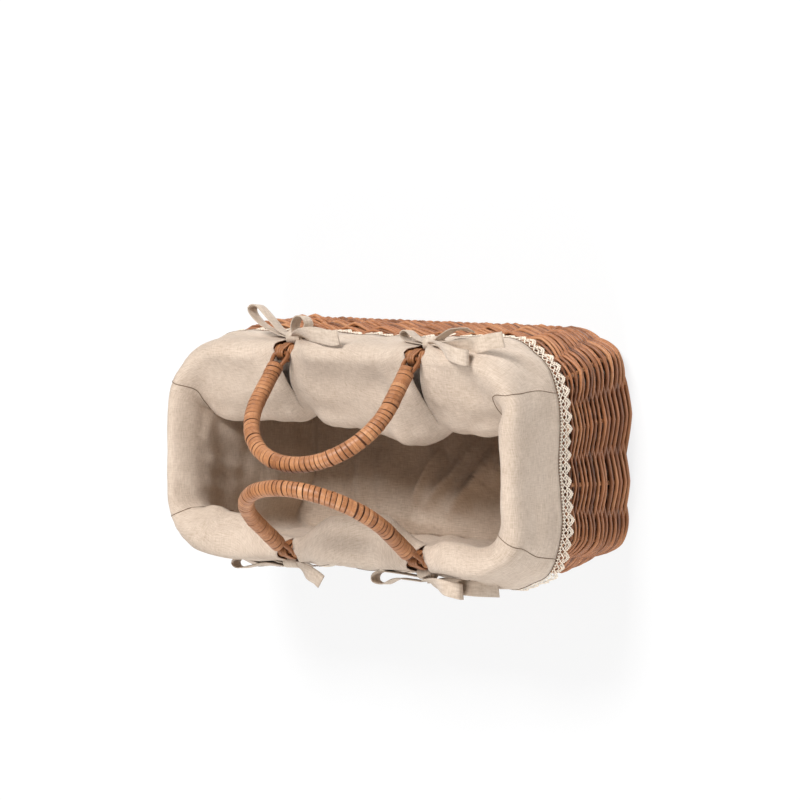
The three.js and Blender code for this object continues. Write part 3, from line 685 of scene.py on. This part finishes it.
ring = np.vstack([bend(ROUND_BORDER_R, drop, -math.pi / 2, lean),
                  bend(THROUGH_EYE_R, 0, lean, math.pi - lean),
                  bend(ROUND_BORDER_R, drop, math.pi - lean, 1.5 * math.pi)[:-1]])
step = np.arange(LASH_TURNS * len(ring) + 1)
spot = ring[step % len(ring)]
shift = LASH_PITCH * (step / len(ring) - LASH_TURNS / 2)
turn = np.linspace(0, 1, BIND_TURNS * BIND_STEPS + 1)
angle = 2 * np.pi * BIND_TURNS * turn
around = np.stack([0 * turn, np.cos(angle), np.sin(angle)], 1)
for side, sign in SIDES:
    for end, x in (("left", LEFT_ROOT), ("right", RIGHT_ROOT)):
        lash = Strands()
        eye_spot = np.array([x, sign * PIVOT_Y, PIVOT_Z])
        path = eye_spot + np.stack([shift, spot[:, 0], spot[:, 1]], 1)
        centre = eye_spot + np.stack([shift, 0 * shift, np.clip(spot[:, 1], -drop, 0)], 1)
        lash.sweep(path, LASH_STRIP, hint=path - centre, tone=0.35)
        middle = eye_spot - np.array([BIND_HALF, 0, drop]) + np.outer(turn, [2 * BIND_HALF, 0, 0])
        lash.sweep(middle + BIND_R * around, BIND_STRIP, hint=around, tone=0.6)
        lash.piece(f"{side}_{end}_lashing_cane", cane, "cane", [f"{side}_{end}_lashing"])

# %% [markdown]
# ## Natural linen
# The cloth is a plain linen weave. Threads of uneven thickness, the slubs, make short pale and
# dark dashes in both directions, and the threads themselves are a fine bump. The pattern uses
# the flat cut of the cloth, kept as a UV map in millimetres, so it bends with every fold.

# %% Linen finishes
THREAD_TURN = 2 * math.pi / 0.9


def linen_finish(name, *tones):
    finish, tree, shader = new_finish(name)
    dark, middle, pale = (srgb(*tone) for tone in tones)
    cloth = Shade.add(tree, "UVMap", {"uv_map": "cut"})
    u, v = (Shade.add(tree, "SeparateXYZ", {}, {0: cloth}, axis) for axis in "XY")
    weft = cloudy(tree, (u * 0.12, v * 0.95, 0.0), 1.0, 4.0, 0.65)
    warp = cloudy(tree, (u * 0.95, v * 0.12, 7.0), 1.0, 4.0, 0.65)
    soft = cloudy(tree, (u * 0.018, v * 0.018, 3.0), 1.0)
    rumple = abs(cloudy(tree, (u * 0.045, v * 0.035, 5.0), 1.0) - 0.5)
    level_of = 0.5 + (weft - 0.5) * 0.85 + (warp - 0.5) * 0.6 + (soft - 0.5) * 0.4
    link(ramp(tree, level_of, (0.2, dark), (0.5, middle), (0.8, pale)), shader, "Base Color")
    threads = (u * THREAD_TURN).sine() * (v * THREAD_TURN).sine()
    height = threads * 0.3 + weft * 0.5 + warp * 0.45 - rumple * 9.0
    link(bump(tree, height, 0.5, 0.0006), shader, "Normal")
    constants(shader, {"Roughness": 0.92, "Sheen Weight": 0.15, "Sheen Roughness": 0.5,
                       "Specular IOR Level": 0.2})
    return finish


linen = linen_finish("natural_linen", (168, 148, 129), (197, 178, 160), (218, 201, 184))
tape_linen = linen_finish("linen_tape", (168, 149, 130), (196, 178, 160), (217, 201, 185))
thread = strand_finish("seam_thread", [(106, 86, 68), (126, 105, 85), (146, 124, 102)],
                       0.8, 0.0, 3.0)
lace_thread = strand_finish("lace_thread", [(226, 209, 188), (240, 226, 208), (248, 238, 224)],
                            0.85, 0.0, 3.0)
print("cloth finishes:", linen.name, tape_linen.name, thread.name, lace_thread.name)

# %% [markdown]
# ## The lining and its cuff
# The lining is one sewn cloth: a bag inside the basket that turns over the border and hangs
# outside as a cuff, slit at the four handle roots. A simulation would drape it, but it would
# also move every fold, so the folds are placed one by one. Each column of cloth is a smooth
# curve through a few points from the floor to the hem. Small tables say how the curve changes
# round the rim: where the crest moves out, where it rises, and where the cloth puffs inwards.

# %% Rules of the cloth
FLOOR_Z, HEM_Z, SEAM_Z, CREST_Z = 17.6, 133.0, 150.0, 188.0
BACK_SLACK, LEFT_SLANT, LINING_GAP = 74, 40, 8.0
# more or less slack at places along the back: how much, where along x and how wide
SLACK_BUMPS = [(17, 45, 38), (-12, LEFT_ROOT, 13), (-6, RIGHT_ROOT + 8, 12)]
FOLD_DEPTH, HUG_R, HUG_WIDTH = 4.0, 10, 0.016
LENGTH = float(wall_length(BORDER_Z))
ROOTS = [float(side_fraction(RIGHT_ROOT, BORDER_Z)), float(side_fraction(LEFT_ROOT, BORDER_Z))]
ROOTS += [1 - ROOTS[1], 1 - ROOTS[0]]
FLAPS = [("right", ROOTS[3] - 1, ROOTS[0], 112), ("back", ROOTS[0], ROOTS[1], 56),
         ("left", ROOTS[1], ROOTS[2], 120), ("front", ROOTS[2], ROOTS[3], 56)]
FOLDS = {"right": 6, "back": 3, "left": 7, "front": 3}
RIM_STEPS, BLUR = 1024, 20


def near(value, centre, width):
    """A soft bump, 1 at the centre and gone three widths away."""
    return np.exp(-((np.asarray(value, float) - centre) / width) ** 2)


def round_the_rim(*pairs):
    """A value that changes smoothly round the rim, from pairs of fraction and value."""
    places, values = np.array(pairs, float).T
    dense = np.arange(RIM_STEPS) / RIM_STEPS
    line = np.interp(dense, np.concatenate([places - 1, places, places + 1]), np.tile(values, 3))
    weight = near(np.arange(-BLUR, BLUR + 1), 0, 8)
    line = np.concatenate([line[-BLUR:], line, line[:BLUR]])
    line = np.convolve(line, weight / weight.sum(), "valid")
    line, steps = np.append(line, line[0]), np.arange(RIM_STEPS + 1)
    return lambda fraction: np.interp(np.mod(fraction, 1) * RIM_STEPS, steps, line)


crest_out = round_the_rim(
    (0.0, 0), (0.04, 2), (0.08, 5), (0.12, 1), (0.16, 0), (0.38, 0), (0.42, -1), (0.46, -1),
    (0.54, 0), (0.58, 3), (0.63, 2), (0.68, 0), (0.83, 0), (0.87, 2), (0.92, 10), (0.96, 2))
crest_up = round_the_rim(
    (0.0, 1), (0.04, 4), (0.062, 0), (0.085, 4), (0.12, 1), (0.25, 1), (0.36, 1), (0.42, 2),
    (0.46, 8), (0.5, 11), (0.56, 10), (0.59, 7), (0.64, 4), (0.685, 1), (0.76, 4), (0.83, 1),
    (0.88, 3), (0.905, 4), (0.93, 0), (0.955, 4))
crest_tip = round_the_rim(
    (0.0, 0.2), (0.1, 0.1), (0.39, 0), (0.44, 1), (0.56, 1), (0.60, 0), (0.9, 0.1))
puff_in = round_the_rim(
    (0.0, 0), (0.04, 3), (0.062, 0), (0.09, 6), (0.12, 0), (0.56, 4), (0.595, 24), (0.65, 21),
    (0.683, 4), (0.70, 9), (0.735, 22), (0.77, 30), (0.81, 31), (0.828, 7), (0.845, 12),
    (0.88, 9), (0.91, 0))
hem_hang = round_the_rim(
    (0.0, 1), (0.06, 0), (0.36, 0), (0.42, 1.5), (0.46, 0), (0.52, 1), (0.58, 4), (0.62, 3),
    (0.66, 1), (0.84, 1), (0.88, 6), (0.92, 13), (0.96, 4))


def slack(fraction, x, z):
    """How the lining hangs off the wall: forward from the back like a hammock, in from the left."""
    share = np.clip((z - FLOOR_Z) / (CREST_Z - FLOOR_Z), 0, 1)
    turn = np.mod(fraction, 1)
    depth = BACK_SLACK + sum(size * near(x, *place) for size, *place in SLACK_BUMPS)
    forward = depth * np.sin(np.pi * share ** 1.6) * smooth(np.minimum(turn, 0.5 - turn), 0, 0.12)
    inward = LEFT_SLANT * (1 - smooth(np.abs(turn - 0.5), 0.03, 0.10)) * (1 - share)
    return np.stack([inward, -forward, 0 * forward], -1)


def bag_point(fraction, z):
    spot, out = wall_spot(fraction, z)
    return spot - LINING_GAP * out + slack(fraction, spot[..., 0], z)


def cuff_column(fraction, share, folds):
    """One column of the cuff from the lining over the border to the hem: offsets and heights."""
    _, out = wall_spot(fraction, BORDER_Z)
    outward, rise, tip, puff = (float(table(fraction))
                                for table in (crest_out, crest_up, crest_tip, puff_in))
    flat = float(smooth(out[1], 0.1, 0.8))
    fold = FOLD_DEPTH * (0.5 + 0.5 * math.cos(2 * math.pi * folds * share))
    fold *= (1 - flat) * (1 - float(smooth(out[0], 0.3, 0.8)))
    loose = [(-10.2 - puff + 1.4 * tip, 183 + 0.1 * rise),
             (-8.4 - 0.78 * puff + 0.4 * outward + 3.2 * tip, 191.5 + 0.3 * rise + 2 * tip),
             (-1.5 - 0.3 * puff + 0.9 * outward + 1.5 * tip, 196 + rise),
             (6.0 + outward - 0.5 * tip, 193.5 + 0.95 * rise + 2 * tip),
             (9.9 + outward + 0.4 * flat, 184 + 0.4 * rise + 2 * tip)]
    hug = max(float(near(np.mod(fraction - root + 0.5, 1), 0.5, HUG_WIDTH)) for root in ROOTS)
    tight = [(HUG_R * math.cos(a), BORDER_Z + HUG_R * math.sin(a))
             for a in np.radians((155, 125, 95, 60, 22))]
    crest = (1 - hug) * np.array(loose) + hug * np.array(tight)
    return [(-9.4 - 0.5 * puff, 171), *crest,
            (9.0 + 0.75 * outward + 0.5 * fold + 0.6 * flat, 160),
            (8.9 - 1.4 * flat + 0.45 * outward + fold, HEM_Z)]


INNER_SLIT = [SEAM_Z, 171, 181, 186, 191, 200], [0.2, 0.3, 2.5, 6.5, 11, 12.5]
OUTER_SLIT = [HEM_Z, 160, 168, 176, 180, 184, 190], [3.0, 2.0, 2.2, 4.5, 9, 11.5, 12.5]


def slit_half(offset, z):
    """Half the width of a slit: open round the handle, drawn together by the bow, closed inside."""
    heights, widths = INNER_SLIT if offset < 0 else OUTER_SLIT
    return float(np.interp(z, heights, widths))


print("cloth round the rim", round(LENGTH), "mm, slits at", [round(r, 3) for r in ROOTS])

# %% [markdown]
# The grid of the cloth has three parts that share their edges: rings up the inside wall, rings
# that close over the floor, and the four flaps. Soft noise then crumples it, and a few listed
# creases are pressed in where the cloth is pulled by its seams.

# %% Lining
CUFF_ROWS, FLOOR_RINGS, FLOOR_CUT, HANG_Z = 30, 36, 2000.0, 190
columns = np.concatenate([np.linspace(a, b, n, endpoint=False) for _, a, b, n in FLAPS])
count = len(columns)
here = np.arange(count)
following = (here + 1) % count
wall_rows = np.concatenate([np.linspace(FLOOR_Z, 42, 6), np.linspace(49, SEAM_Z, 18)])
grid, cut, faces = [], [], []


def join(*corners):
    faces.extend(np.stack(corners, 1).tolist())


for row, z in enumerate(wall_rows):
    grid.append(bag_point(columns, np.full(count, z)))
    cut.append(np.stack([columns * LENGTH, np.full(count, z)], 1))
    if row:
        low, high = (row - 1) * count, row * count
        join(low + here, low + following, high + following, high + here)
total, previous = count * len(wall_rows), 0
for k in range(1, FLOOR_RINGS):
    inward = 1 - k / FLOOR_RINGS
    grid.append(grid[0] * np.array([inward, inward, 1.0]))
    cut.append(grid[-1][:, :2] + FLOOR_CUT)
    join(previous + here, total + here, total + following, previous + following)
    previous, total = total, total + count
grid.append(np.array([[0, 0, FLOOR_Z]]))
cut.append(np.array([[FLOOR_CUT, FLOOR_CUT]]))
faces += [(previous + c, total, previous + int(following[c])) for c in range(count)]
total += 1

seam_row = (len(wall_rows) - 1) * count
flap_start, first_column = {}, 0


def flap_index(column, row):
    """Number of a point on the flap; its first row lies on the lining's upper edge."""
    if row == 0:
        return seam_row + (first_column + column) % count
    return total + column * CUFF_ROWS + row - 1


for flap, low, high, n in FLAPS:
    flap_start[flap] = total
    for share in np.arange(n + 1) / n:
        fraction = np.array(low + (high - low) * share)
        curve = [bag_point(fraction, np.array(SEAM_Z))]
        for offset, z in cuff_column(fraction, share, FOLDS[flap]):
            narrow = slit_half(offset, z) / LENGTH
            squeezed = np.array(low + narrow + (high - low - 2 * narrow) * share)
            spot, out = wall_spot(squeezed, min(z, BORDER_Z))
            point = spot + offset * out
            point[2] = z
            if offset < 0:
                point += slack(squeezed, spot[0], z)
            else:
                point[1] -= float(hem_hang(squeezed)) * float(smooth(HANG_Z - z, 0, HANG_Z - HEM_Z))
            curve.append(point)
        column = spline(curve, CUFF_ROWS)
        grid.append(column[1:])
        down = SEAM_Z + walked(column)[1:]
        cut.append(np.stack([0 * down + fraction * LENGTH, down], 1))
    faces += [[flap_index(i, row), flap_index(i + 1, row), flap_index(i + 1, row + 1),
               flap_index(i, row + 1)] for i in range(n) for row in range(CUFF_ROWS)]
    total += (n + 1) * CUFF_ROWS
    first_column += n
points, cut = np.vstack(grid), np.vstack(cut)
print("lining grid", points.shape, "faces", len(faces))

# %% Crumples and creases
CLOTH_THICK = 0.0011
FIRM_ROOM, SLACK_ROOM, CUFF_ROOM = 0.2, 0.5, 9.0
# start, end, height and width of each crease; a negative height stands up into the bag
CREASES = [
    ((-60, 88, 186), (-52, 45, 165), 2.5, 5), ((40, 96, 190), (70, 55, 168), -5, 6),
    ((-188, -60, 196), (-150, -66, 184), 3, 7), ((189, 60, 199), (176, 36, 174), 5, 5),
    ((80, 2, 18), (12, -70, 18), -26, 9), ((52, 5, 18), (-14, -64, 18), -18, 8),
    ((2, -8, 18), (-34, -66, 18), -14, 9), ((-66, -76, 22), (24, -90, 26), -15, 8),
    ((4, -88, 36), (96, -84, 30), -13, 8), ((-96, -8, 18), (-97, -72, 18), -10, 6),
    ((-73, -10, 18), (-72, -72, 18), -10, 6), ((124, 22, 18), (56, -44, 18), -20, 10),
    ((-178, -60, 199), (-143, -61, 182), -7, 5), ((-170, -74, 204), (-130, -69, 190), -5, 4),
    ((-160, -86, 203), (-117, -75, 194), -5, 4), ((-150, -78, 200), (-122, -70, 192), 3, 4),
    ((-182, -25, 198), (-179, -50, 136), -5, 5), ((-177, -10, 172), (-175, -32, 110), -5, 5),
    ((-165, 42, 160), (-176, 4, 170), -5, 5), ((-176, 20, 150), (-174, -8, 96), -5, 6),
    ((-30, -62, 190), (40, -66, 193), -4, 4), ((-20, -54, 178), (20, -50, 176), -4, 5),
    ((-40, -70, 192), (-10, -58, 186), -4, 4)]


def ripple(where, size, seed):
    return np.array([noise.noise(Vector(p)) for p in where / size + np.array([seed, 0, 0])])


def normals_of(where):
    quads = np.array([f for f in faces if len(f) == 4]).T
    across = np.cross(where[quads[2]] - where[quads[0]], where[quads[3]] - where[quads[1]])
    total_normal = np.zeros_like(where)
    for corners in quads:
        np.add.at(total_normal, corners, across)
    return unit(total_normal)


def press(where, start, end, depth, width):
    """Depth of a crease along a straight line, sharp at its ridge and soft beside it."""
    start, end = np.array(start, float), np.array(end, float)
    line = end - start
    t = np.clip(((where - start) @ line) / (line @ line), 0, 1)
    gap = np.linalg.norm(where - start - t[:, None] * line, axis=1)
    return depth * np.exp(-(gap / width) ** 1.25) * np.sin(np.pi * np.clip(t, 0.04, 0.96)) ** 0.5


out_of = normals_of(points)
calm = 1 - 0.55 * smooth(points[:, 2], 150, 185)
folds_in = 0.5 - 2.2 * np.abs(ripple(points * np.array([1, 0.6, 1]), 34, 1.7))
crumple = (3.6 * ripple(points * np.array([1, 1, 0.6]), 55, 3.1) + 1.5 * ripple(points, 21, 8.4)
           + 2.4 * folds_in)
creases = sum(press(points, *crease) for crease in CREASES)
hanging = points[: count * len(wall_rows)]
free = slack(np.tile(columns, len(wall_rows)), hanging[:, 0], hanging[:, 2])
room = np.full(len(points), CUFF_ROOM)
room[: len(hanging)] = FIRM_ROOM + SLACK_ROOM * np.linalg.norm(free, axis=1)
points += out_of * np.minimum(crumple * calm + creases, room)[:, None]
points[:, 2] = np.maximum(points[:, 2], FLOOR_Z)
liner = make_piece("linen_lining", points, faces, linen,
                   ["lining_bag", "right_cuff", "back_cuff", "left_cuff", "front_cuff"])
lay_flat(liner, cut)
thick = liner.modifiers.new("cloth", "SOLIDIFY")
thick.thickness, thick.offset = CLOTH_THICK, 0.0
area = sum(p.area for p in liner.data.polygons)
round(area / LENGTH * 1000, 3)
print("cloth area", round(area, 3), "square metres")

# %% [markdown]
# ## Seams and hem
# Four corner seams run from the hem over the border into the bag, and a darker line of thread
# follows the hem where the lace is sewn on. A thin round strand, half sunk in the cloth, reads
# as a seam from any side.

# %% Seams and hem
SEAM_R, HEM_R, OUT_OF_CLOTH, SEAM_END_Z = 0.36, 0.6, 0.6, 120
HEM_OUT, HEM_DOWN, SEAM_ROWS = 0.5, np.array([0, 0, 0.3]), [0, 7, 14, CUFF_ROWS]
SEAMS = [("right", [0.092, 0.080, 0.066, 0.056]), ("right", [-0.070] * 4),
         ("left", [0.437] * 4), ("left", [0.566] * 4)]
flap_range = {flap: (low, high, n) for flap, low, high, n in FLAPS}


def hem_of(flap):
    first, n = flap_start[flap], flap_range[flap][2]
    return points[first + CUFF_ROWS - 1:first + (n + 1) * CUFF_ROWS:CUFF_ROWS]


seams = Strands()
for flap, fractions in SEAMS:
    low, high, n = flap_range[flap]
    inside = int(np.argmin(np.abs(np.mod(columns - fractions[0] + 0.5, 1) - 0.5)))
    rows = [row * count + inside for row, z in enumerate(wall_rows) if z > SEAM_END_Z]
    line = list(points[rows] - OUT_OF_CLOTH * out_of[rows])
    for row in range(CUFF_ROWS):
        column = (np.interp(row, SEAM_ROWS, fractions) - low) / (high - low) * n
        nearest = flap_start[flap] + int(column) * CUFF_ROWS + row
        beside, share = nearest + CUFF_ROWS, column - int(column)
        line.append((1 - share) * points[nearest] + share * points[beside]
                    - OUT_OF_CLOTH * out_of[nearest])
    seams.sweep(spline(line, 60), round_outline(SEAM_R, 6), tone=0.25)
for flap in flap_range:
    line = hem_of(flap)
    outward = unit(line * np.array([1, 1, 0]))
    seams.sweep(line + HEM_OUT * outward - HEM_DOWN, round_outline(HEM_R, 6), tone=0.2)
seams.piece("seam_threads", thread, "linen")

# %% [markdown]
# ## Bobbin lace
# The edging is a narrow cotton lace: a footing like a ladder, a lattice of diamonds, and fans with
# a scalloped edge. It is made of threads, so it is built of threads: each one is drawn flat in one
# repeat of twelve millimetres, then laid along the hem and down the wall.

# %% Lace
REPEAT, DEPTH = 12.0, 18.0
FOOTING, NET_TOP, NET_LOW, FAN_TOP, FAN_LOW = 0.5, 3.1, 10.0, 10.2, DEPTH - 0.8
INNER_FAN, PICOT, NET_CROSS = 3.6, 0.85, 6.6
STAND_OFF, PRESSED, WAVE_HEIGHT, WAVE_LENGTH = 0.6, 1.8, 0.7, 31
LACE_THREAD = round_outline(0.27, 6, 2.3)


def lace_repeat():
    """Threads of one repeat: lists of points, along and down."""
    turn = np.linspace(-1, 1, 9)
    swell = 1 - np.abs(turn) ** 1.4
    outer = np.stack([REPEAT / 2 * (1 + turn), FAN_TOP + (FAN_LOW - FAN_TOP) * swell], 1)
    inner = np.stack([REPEAT / 2 * (1 + 0.55 * turn), FAN_TOP + INNER_FAN * swell], 1)
    threads = [outer, inner, *np.stack([inner, outer], 1)[1:-1]]
    for level in (FOOTING, NET_TOP, NET_LOW):
        threads.append(np.array([(0, level), (REPEAT / 2, level), (REPEAT, level)]))
    for along in REPEAT * (np.arange(4) + 0.5) / 4:
        threads.append(np.array([(along, FOOTING), (along, NET_TOP)]))
    for left, right in ((0, REPEAT / 2), (REPEAT / 2, REPEAT)):
        for start, end in ((left, right), (right, left)):
            crossing = (left + right) / 2, NET_CROSS
            threads.append(np.array([(start, NET_TOP), crossing, (end, NET_LOW)]))
    fan_middle = np.array([REPEAT / 2, FAN_TOP - 4])
    for tip in outer[1:-1]:
        threads.append(np.stack([tip, tip + PICOT * unit(tip - fan_middle)]))
    return threads


for flap, low, high, n in FLAPS:
    hem = hem_of(flap)
    reach = walked(hem)
    repeats = max(int(round(reach[-1] / REPEAT)), 1)
    stretch = reach[-1] / (repeats * REPEAT)
    edging = Strands()
    for k in range(repeats):
        for line in lace_repeat():
            along = (line[:, 0] + k * REPEAT) * stretch
            start = np.stack([np.interp(along, reach, hem[:, a]) for a in range(3)], 1)
            where = np.interp(along, reach, np.linspace(low, high, n + 1))
            spot, out = wall_spot(where, HEM_Z)
            low_spot, _ = wall_spot(where, HEM_Z - line[:, 1])
            wave = WAVE_HEIGHT * np.sin(2 * np.pi * along / WAVE_LENGTH + 1.3)
            wave *= line[:, 1] / DEPTH
            stand_off = STAND_OFF + wave - PRESSED * smooth(out[:, 1], 0.1, 0.8)
            laid = start + low_spot - spot + stand_off[:, None] * out
            edging.sweep(laid, LACE_THREAD, hint=out, tone=0.5)
    piece = edging.piece(f"{flap}_lace_edging", lace_thread, "lace", [f"{flap}_lace"])
    round(reach[-1] / 1000, 4)

# %% [markdown]
# ## Bows
# Linen tape is sewn to the edges of the slits and tied in four loose bows. Each is tied anew every
# time, so no two are alike here: every loop and tail follows its own line, with the way that the
# tape's width faces given at each point.

# %% Bows
TAPE_WIDTH, TAPE_STEPS, KNOT_Z = 0.015, 40, 165.5
TAPE = np.array([(-7.4, -0.4), (-7.0, -0.55), (0, -0.5), (7.0, -0.55), (7.4, -0.4), (7.4, 0.4),
                 (7.0, 0.55), (0, 0.5), (-7.0, 0.55), (-7.4, 0.4)])
UP, OUT, SIDE = (0, 0.12, 1), (0, 1, 0.1), (0, 0.75, 0.65)
KNOTS = {"back_left": (-66, 108), "back_right": (91, 107.5), "front_left": (-74, -107),
         "front_right": (81, -107.5)}
BARREL = np.array([(-10, 0, -1), (-6, 0.5, -0.5), (0, 0.6, 0), (6, 0.5, 0.5), (10, 0, 1)])
BARREL_SCALE = np.array([0.75, 1, 1.05, 1, 0.75])
BARREL_R, SEWN_R, KNOT_HALF, KNOT_TAPE = 5.2, 2.4, (1.5, 6.2, 9.5), (0.95, 1.6)
SEWN_END = np.array([(0, 0.5, 2), (-10, 3.5, 4), (-20, 4.1, 4.5), (-28, 4.4, 4.5)])
BOWS = {
    "back_left": [
        ([(-70, 108, 167), (-82, 114, 168), (-95, 126, 168), (-108, 137, 168), (-116, 136, 168),
          (-115, 129, 168), (-103, 119, 168), (-87, 112, 168), (-70, 107, 167)], [UP] * 9),
        ([(-66, 108, 166), (-68, 118, 166), (-64, 127, 166), (-57, 128, 166), (-52, 121, 166),
          (-58, 112, 166), (-65, 107, 166)], [UP] * 7),
        ([(-64, 109, 168), (-45, 113, 184), (-25, 114, 192), (-6, 112, 197), (5, 113, 198)],
         [UP, SIDE, OUT, OUT, (0.3, 1, 0.1)])],
    "back_right": [
        ([(90, 107, 167), (76, 111, 167), (64, 119, 168), (59, 115, 168), (65, 109, 167),
          (78, 107, 166), (90, 106, 167)], [UP] * 7),
        ([(92, 108, 167), (104, 116, 168), (116, 122, 168), (134, 122, 168)],
         [UP, UP, UP, (0, 0.4, 1)]),
        ([(95, 108, 170), (116, 107, 192), (134, 104, 205), (149, 101, 209), (155, 100, 204),
          (147, 100, 199), (128, 103, 193), (102, 107, 176)],
         [UP, SIDE, OUT, OUT, OUT, OUT, SIDE, UP]),
        ([(95, 108, 168), (122, 107, 182), (148, 109, 190), (168, 114, 192), (184, 117, 190)],
         [UP, SIDE, OUT, OUT, OUT])],
    "front_left": [
        ([(-82, -110, 166), (-102, -107, 167), (-125, -107, 168), (-138, -109, 168),
          (-142, -114, 168), (-136, -118, 168), (-120, -115, 168), (-102, -111, 167),
          (-82, -113, 166)], [UP] * 9),
        ([(-76, -112, 166), (-64, -112, 170), (-52, -116, 174), (-41, -120, 176),
          (-35, -124, 176)], [UP, SIDE, OUT, OUT, OUT])],
    "front_right": [
        ([(77, -113, 166), (56, -111, 167), (33, -110, 168), (24, -113, 168), (23, -120, 168),
          (34, -122, 168), (48, -116, 168), (61, -116, 167), (77, -117, 166)], [UP] * 9),
        ([(80, -115, 166), (88, -119, 160), (101, -122, 157), (118, -124, 164), (122, -122, 176),
          (109, -119, 180), (94, -117, 174), (82, -116, 168)],
         [UP, SIDE, OUT, OUT, OUT, OUT, SIDE, UP]),
        ([(82, -118, 164), (102, -120, 160), (128, -121, 160), (156, -120, 160)],
         [UP, OUT, OUT, OUT])],
}
angle = np.linspace(0, 2 * np.pi, 21)[:-1]
knot_ring = KNOT_HALF * np.stack([np.sin(angle), np.cos(angle), np.sin(angle)], 1)
for where, strands in BOWS.items():
    bow = Strands()
    for path, facing in strands:
        turning = spline(np.hstack([path, facing]), TAPE_STEPS)[:, 3:]
        bow.sweep(spline(path, TAPE_STEPS), TAPE, hint=turning, tone=0.5)
    centre = np.array([*KNOTS[where], KNOT_Z])
    bow.sweep(centre + knot_ring, TAPE * KNOT_TAPE, hint=(1, 0, -0.2), closed=True, tone=0.5)
    bow.sweep(centre + BARREL, round_outline(BARREL_R, 12, 1.6), hint=(0, 1, 0), tone=0.5,
              scale=BARREL_SCALE)
    if where.startswith("front"):
        bow.sweep(spline(centre + SEWN_END, 10), round_outline(SEWN_R, 8, 1.5), hint=(0, 1, 0),
                  tone=0.5)
    piece = bow.piece(f"{where}_tape_bow", tape_linen, "linen", [f"{where}_bow"])
    piece_area = sum(p.area for p in piece.data.polygons) / 2
    round(piece_area / TAPE_WIDTH, 3)

# %% [markdown]
# ## Floor, light and the last checks
# The floor is pale and stays behind the object. For the camera it is almost white, but it still
# takes the basket's shadow.

# %% Stage and lights
FLOOR_HALF, FLOOR_GLOW, WORLD_LIGHT = 6, 0.82, 0.22
WHITE = (1, 1, 1, 1)


def show_mixed(tree, factor, first, second):
    """Ends a tree in a mix of its own first shader and one for the camera alone."""
    both = Shade.add(tree, "MixShader", {},
                     {0: factor, 1: Shade(first.outputs[0]), 2: second})
    link(both, next(n for n in tree.nodes if n.type.startswith("OUTPUT")), 0)


floor_mesh = bpy.data.meshes.new("floor")
floor_corners = [(-1, -1), (1, -1), (1, 1), (-1, 1)]
floor_mesh.from_pydata([(FLOOR_HALF * x, FLOOR_HALF * y, 0) for x, y in floor_corners], [],
                       [(0, 1, 2, 3)])
floor = bpy.data.objects.new("floor", floor_mesh)
scene.collection.objects.link(floor)
floor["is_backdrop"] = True
paper, tree, shader = new_finish("pale_floor")
constants(shader, {"Base Color": (0.82, 0.82, 0.82, 1), "Roughness": 0.9})
seen = Shade.add(tree, "LightPath", {}, {}, "Is Camera Ray")
glow = Shade.add(tree, "Emission", {}, {"Color": WHITE, "Strength": 1.0})
show_mixed(tree, seen * FLOOR_GLOW, shader, glow)
floor_mesh.materials.append(paper)

world = bpy.data.worlds.new("studio")
scene.world = world
world.use_nodes = True
tree = world.node_tree
backdrop = next(n for n in tree.nodes if n.type == "BACKGROUND")
constants(backdrop, {"Color": (0.93, 0.96, 1.0, 1), "Strength": WORLD_LIGHT})
seen = Shade.add(tree, "LightPath", {}, {}, "Is Camera Ray")
white = Shade.add(tree, "Background", {}, {0: WHITE, 1: 1.0})
show_mixed(tree, seen, backdrop, white)


def soft_lamp(name, direction, distance, size, power):
    data = bpy.data.lights.new(name, "AREA")
    data.size, data.energy = size, power
    lamp = bpy.data.objects.new(name, data)
    lamp.location = Vector(direction).normalized() * distance + Vector((0, 0, 0.1))
    lamp.rotation_mode = "QUATERNION"
    lamp.rotation_quaternion = Vector(direction).to_track_quat("Z", "Y")
    scene.collection.objects.link(lamp)


soft_lamp("key", (0.0, 0.62, 0.78), 3.3, 1.05, 130)
soft_lamp("front", (0.04, -0.72, 0.66), 3.6, 1.8, 100)
soft_lamp("fill", (0.99, 0.08, -0.01), 2.6, 0.35, 17)
scene.view_settings.view_transform = "Standard"

# %% Sizes and finish
new_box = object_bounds()
for label, box in (("cad", cad_box), ("visual", new_box)):
    print(label, [[round(v, 3) for v in corner] for corner in box])
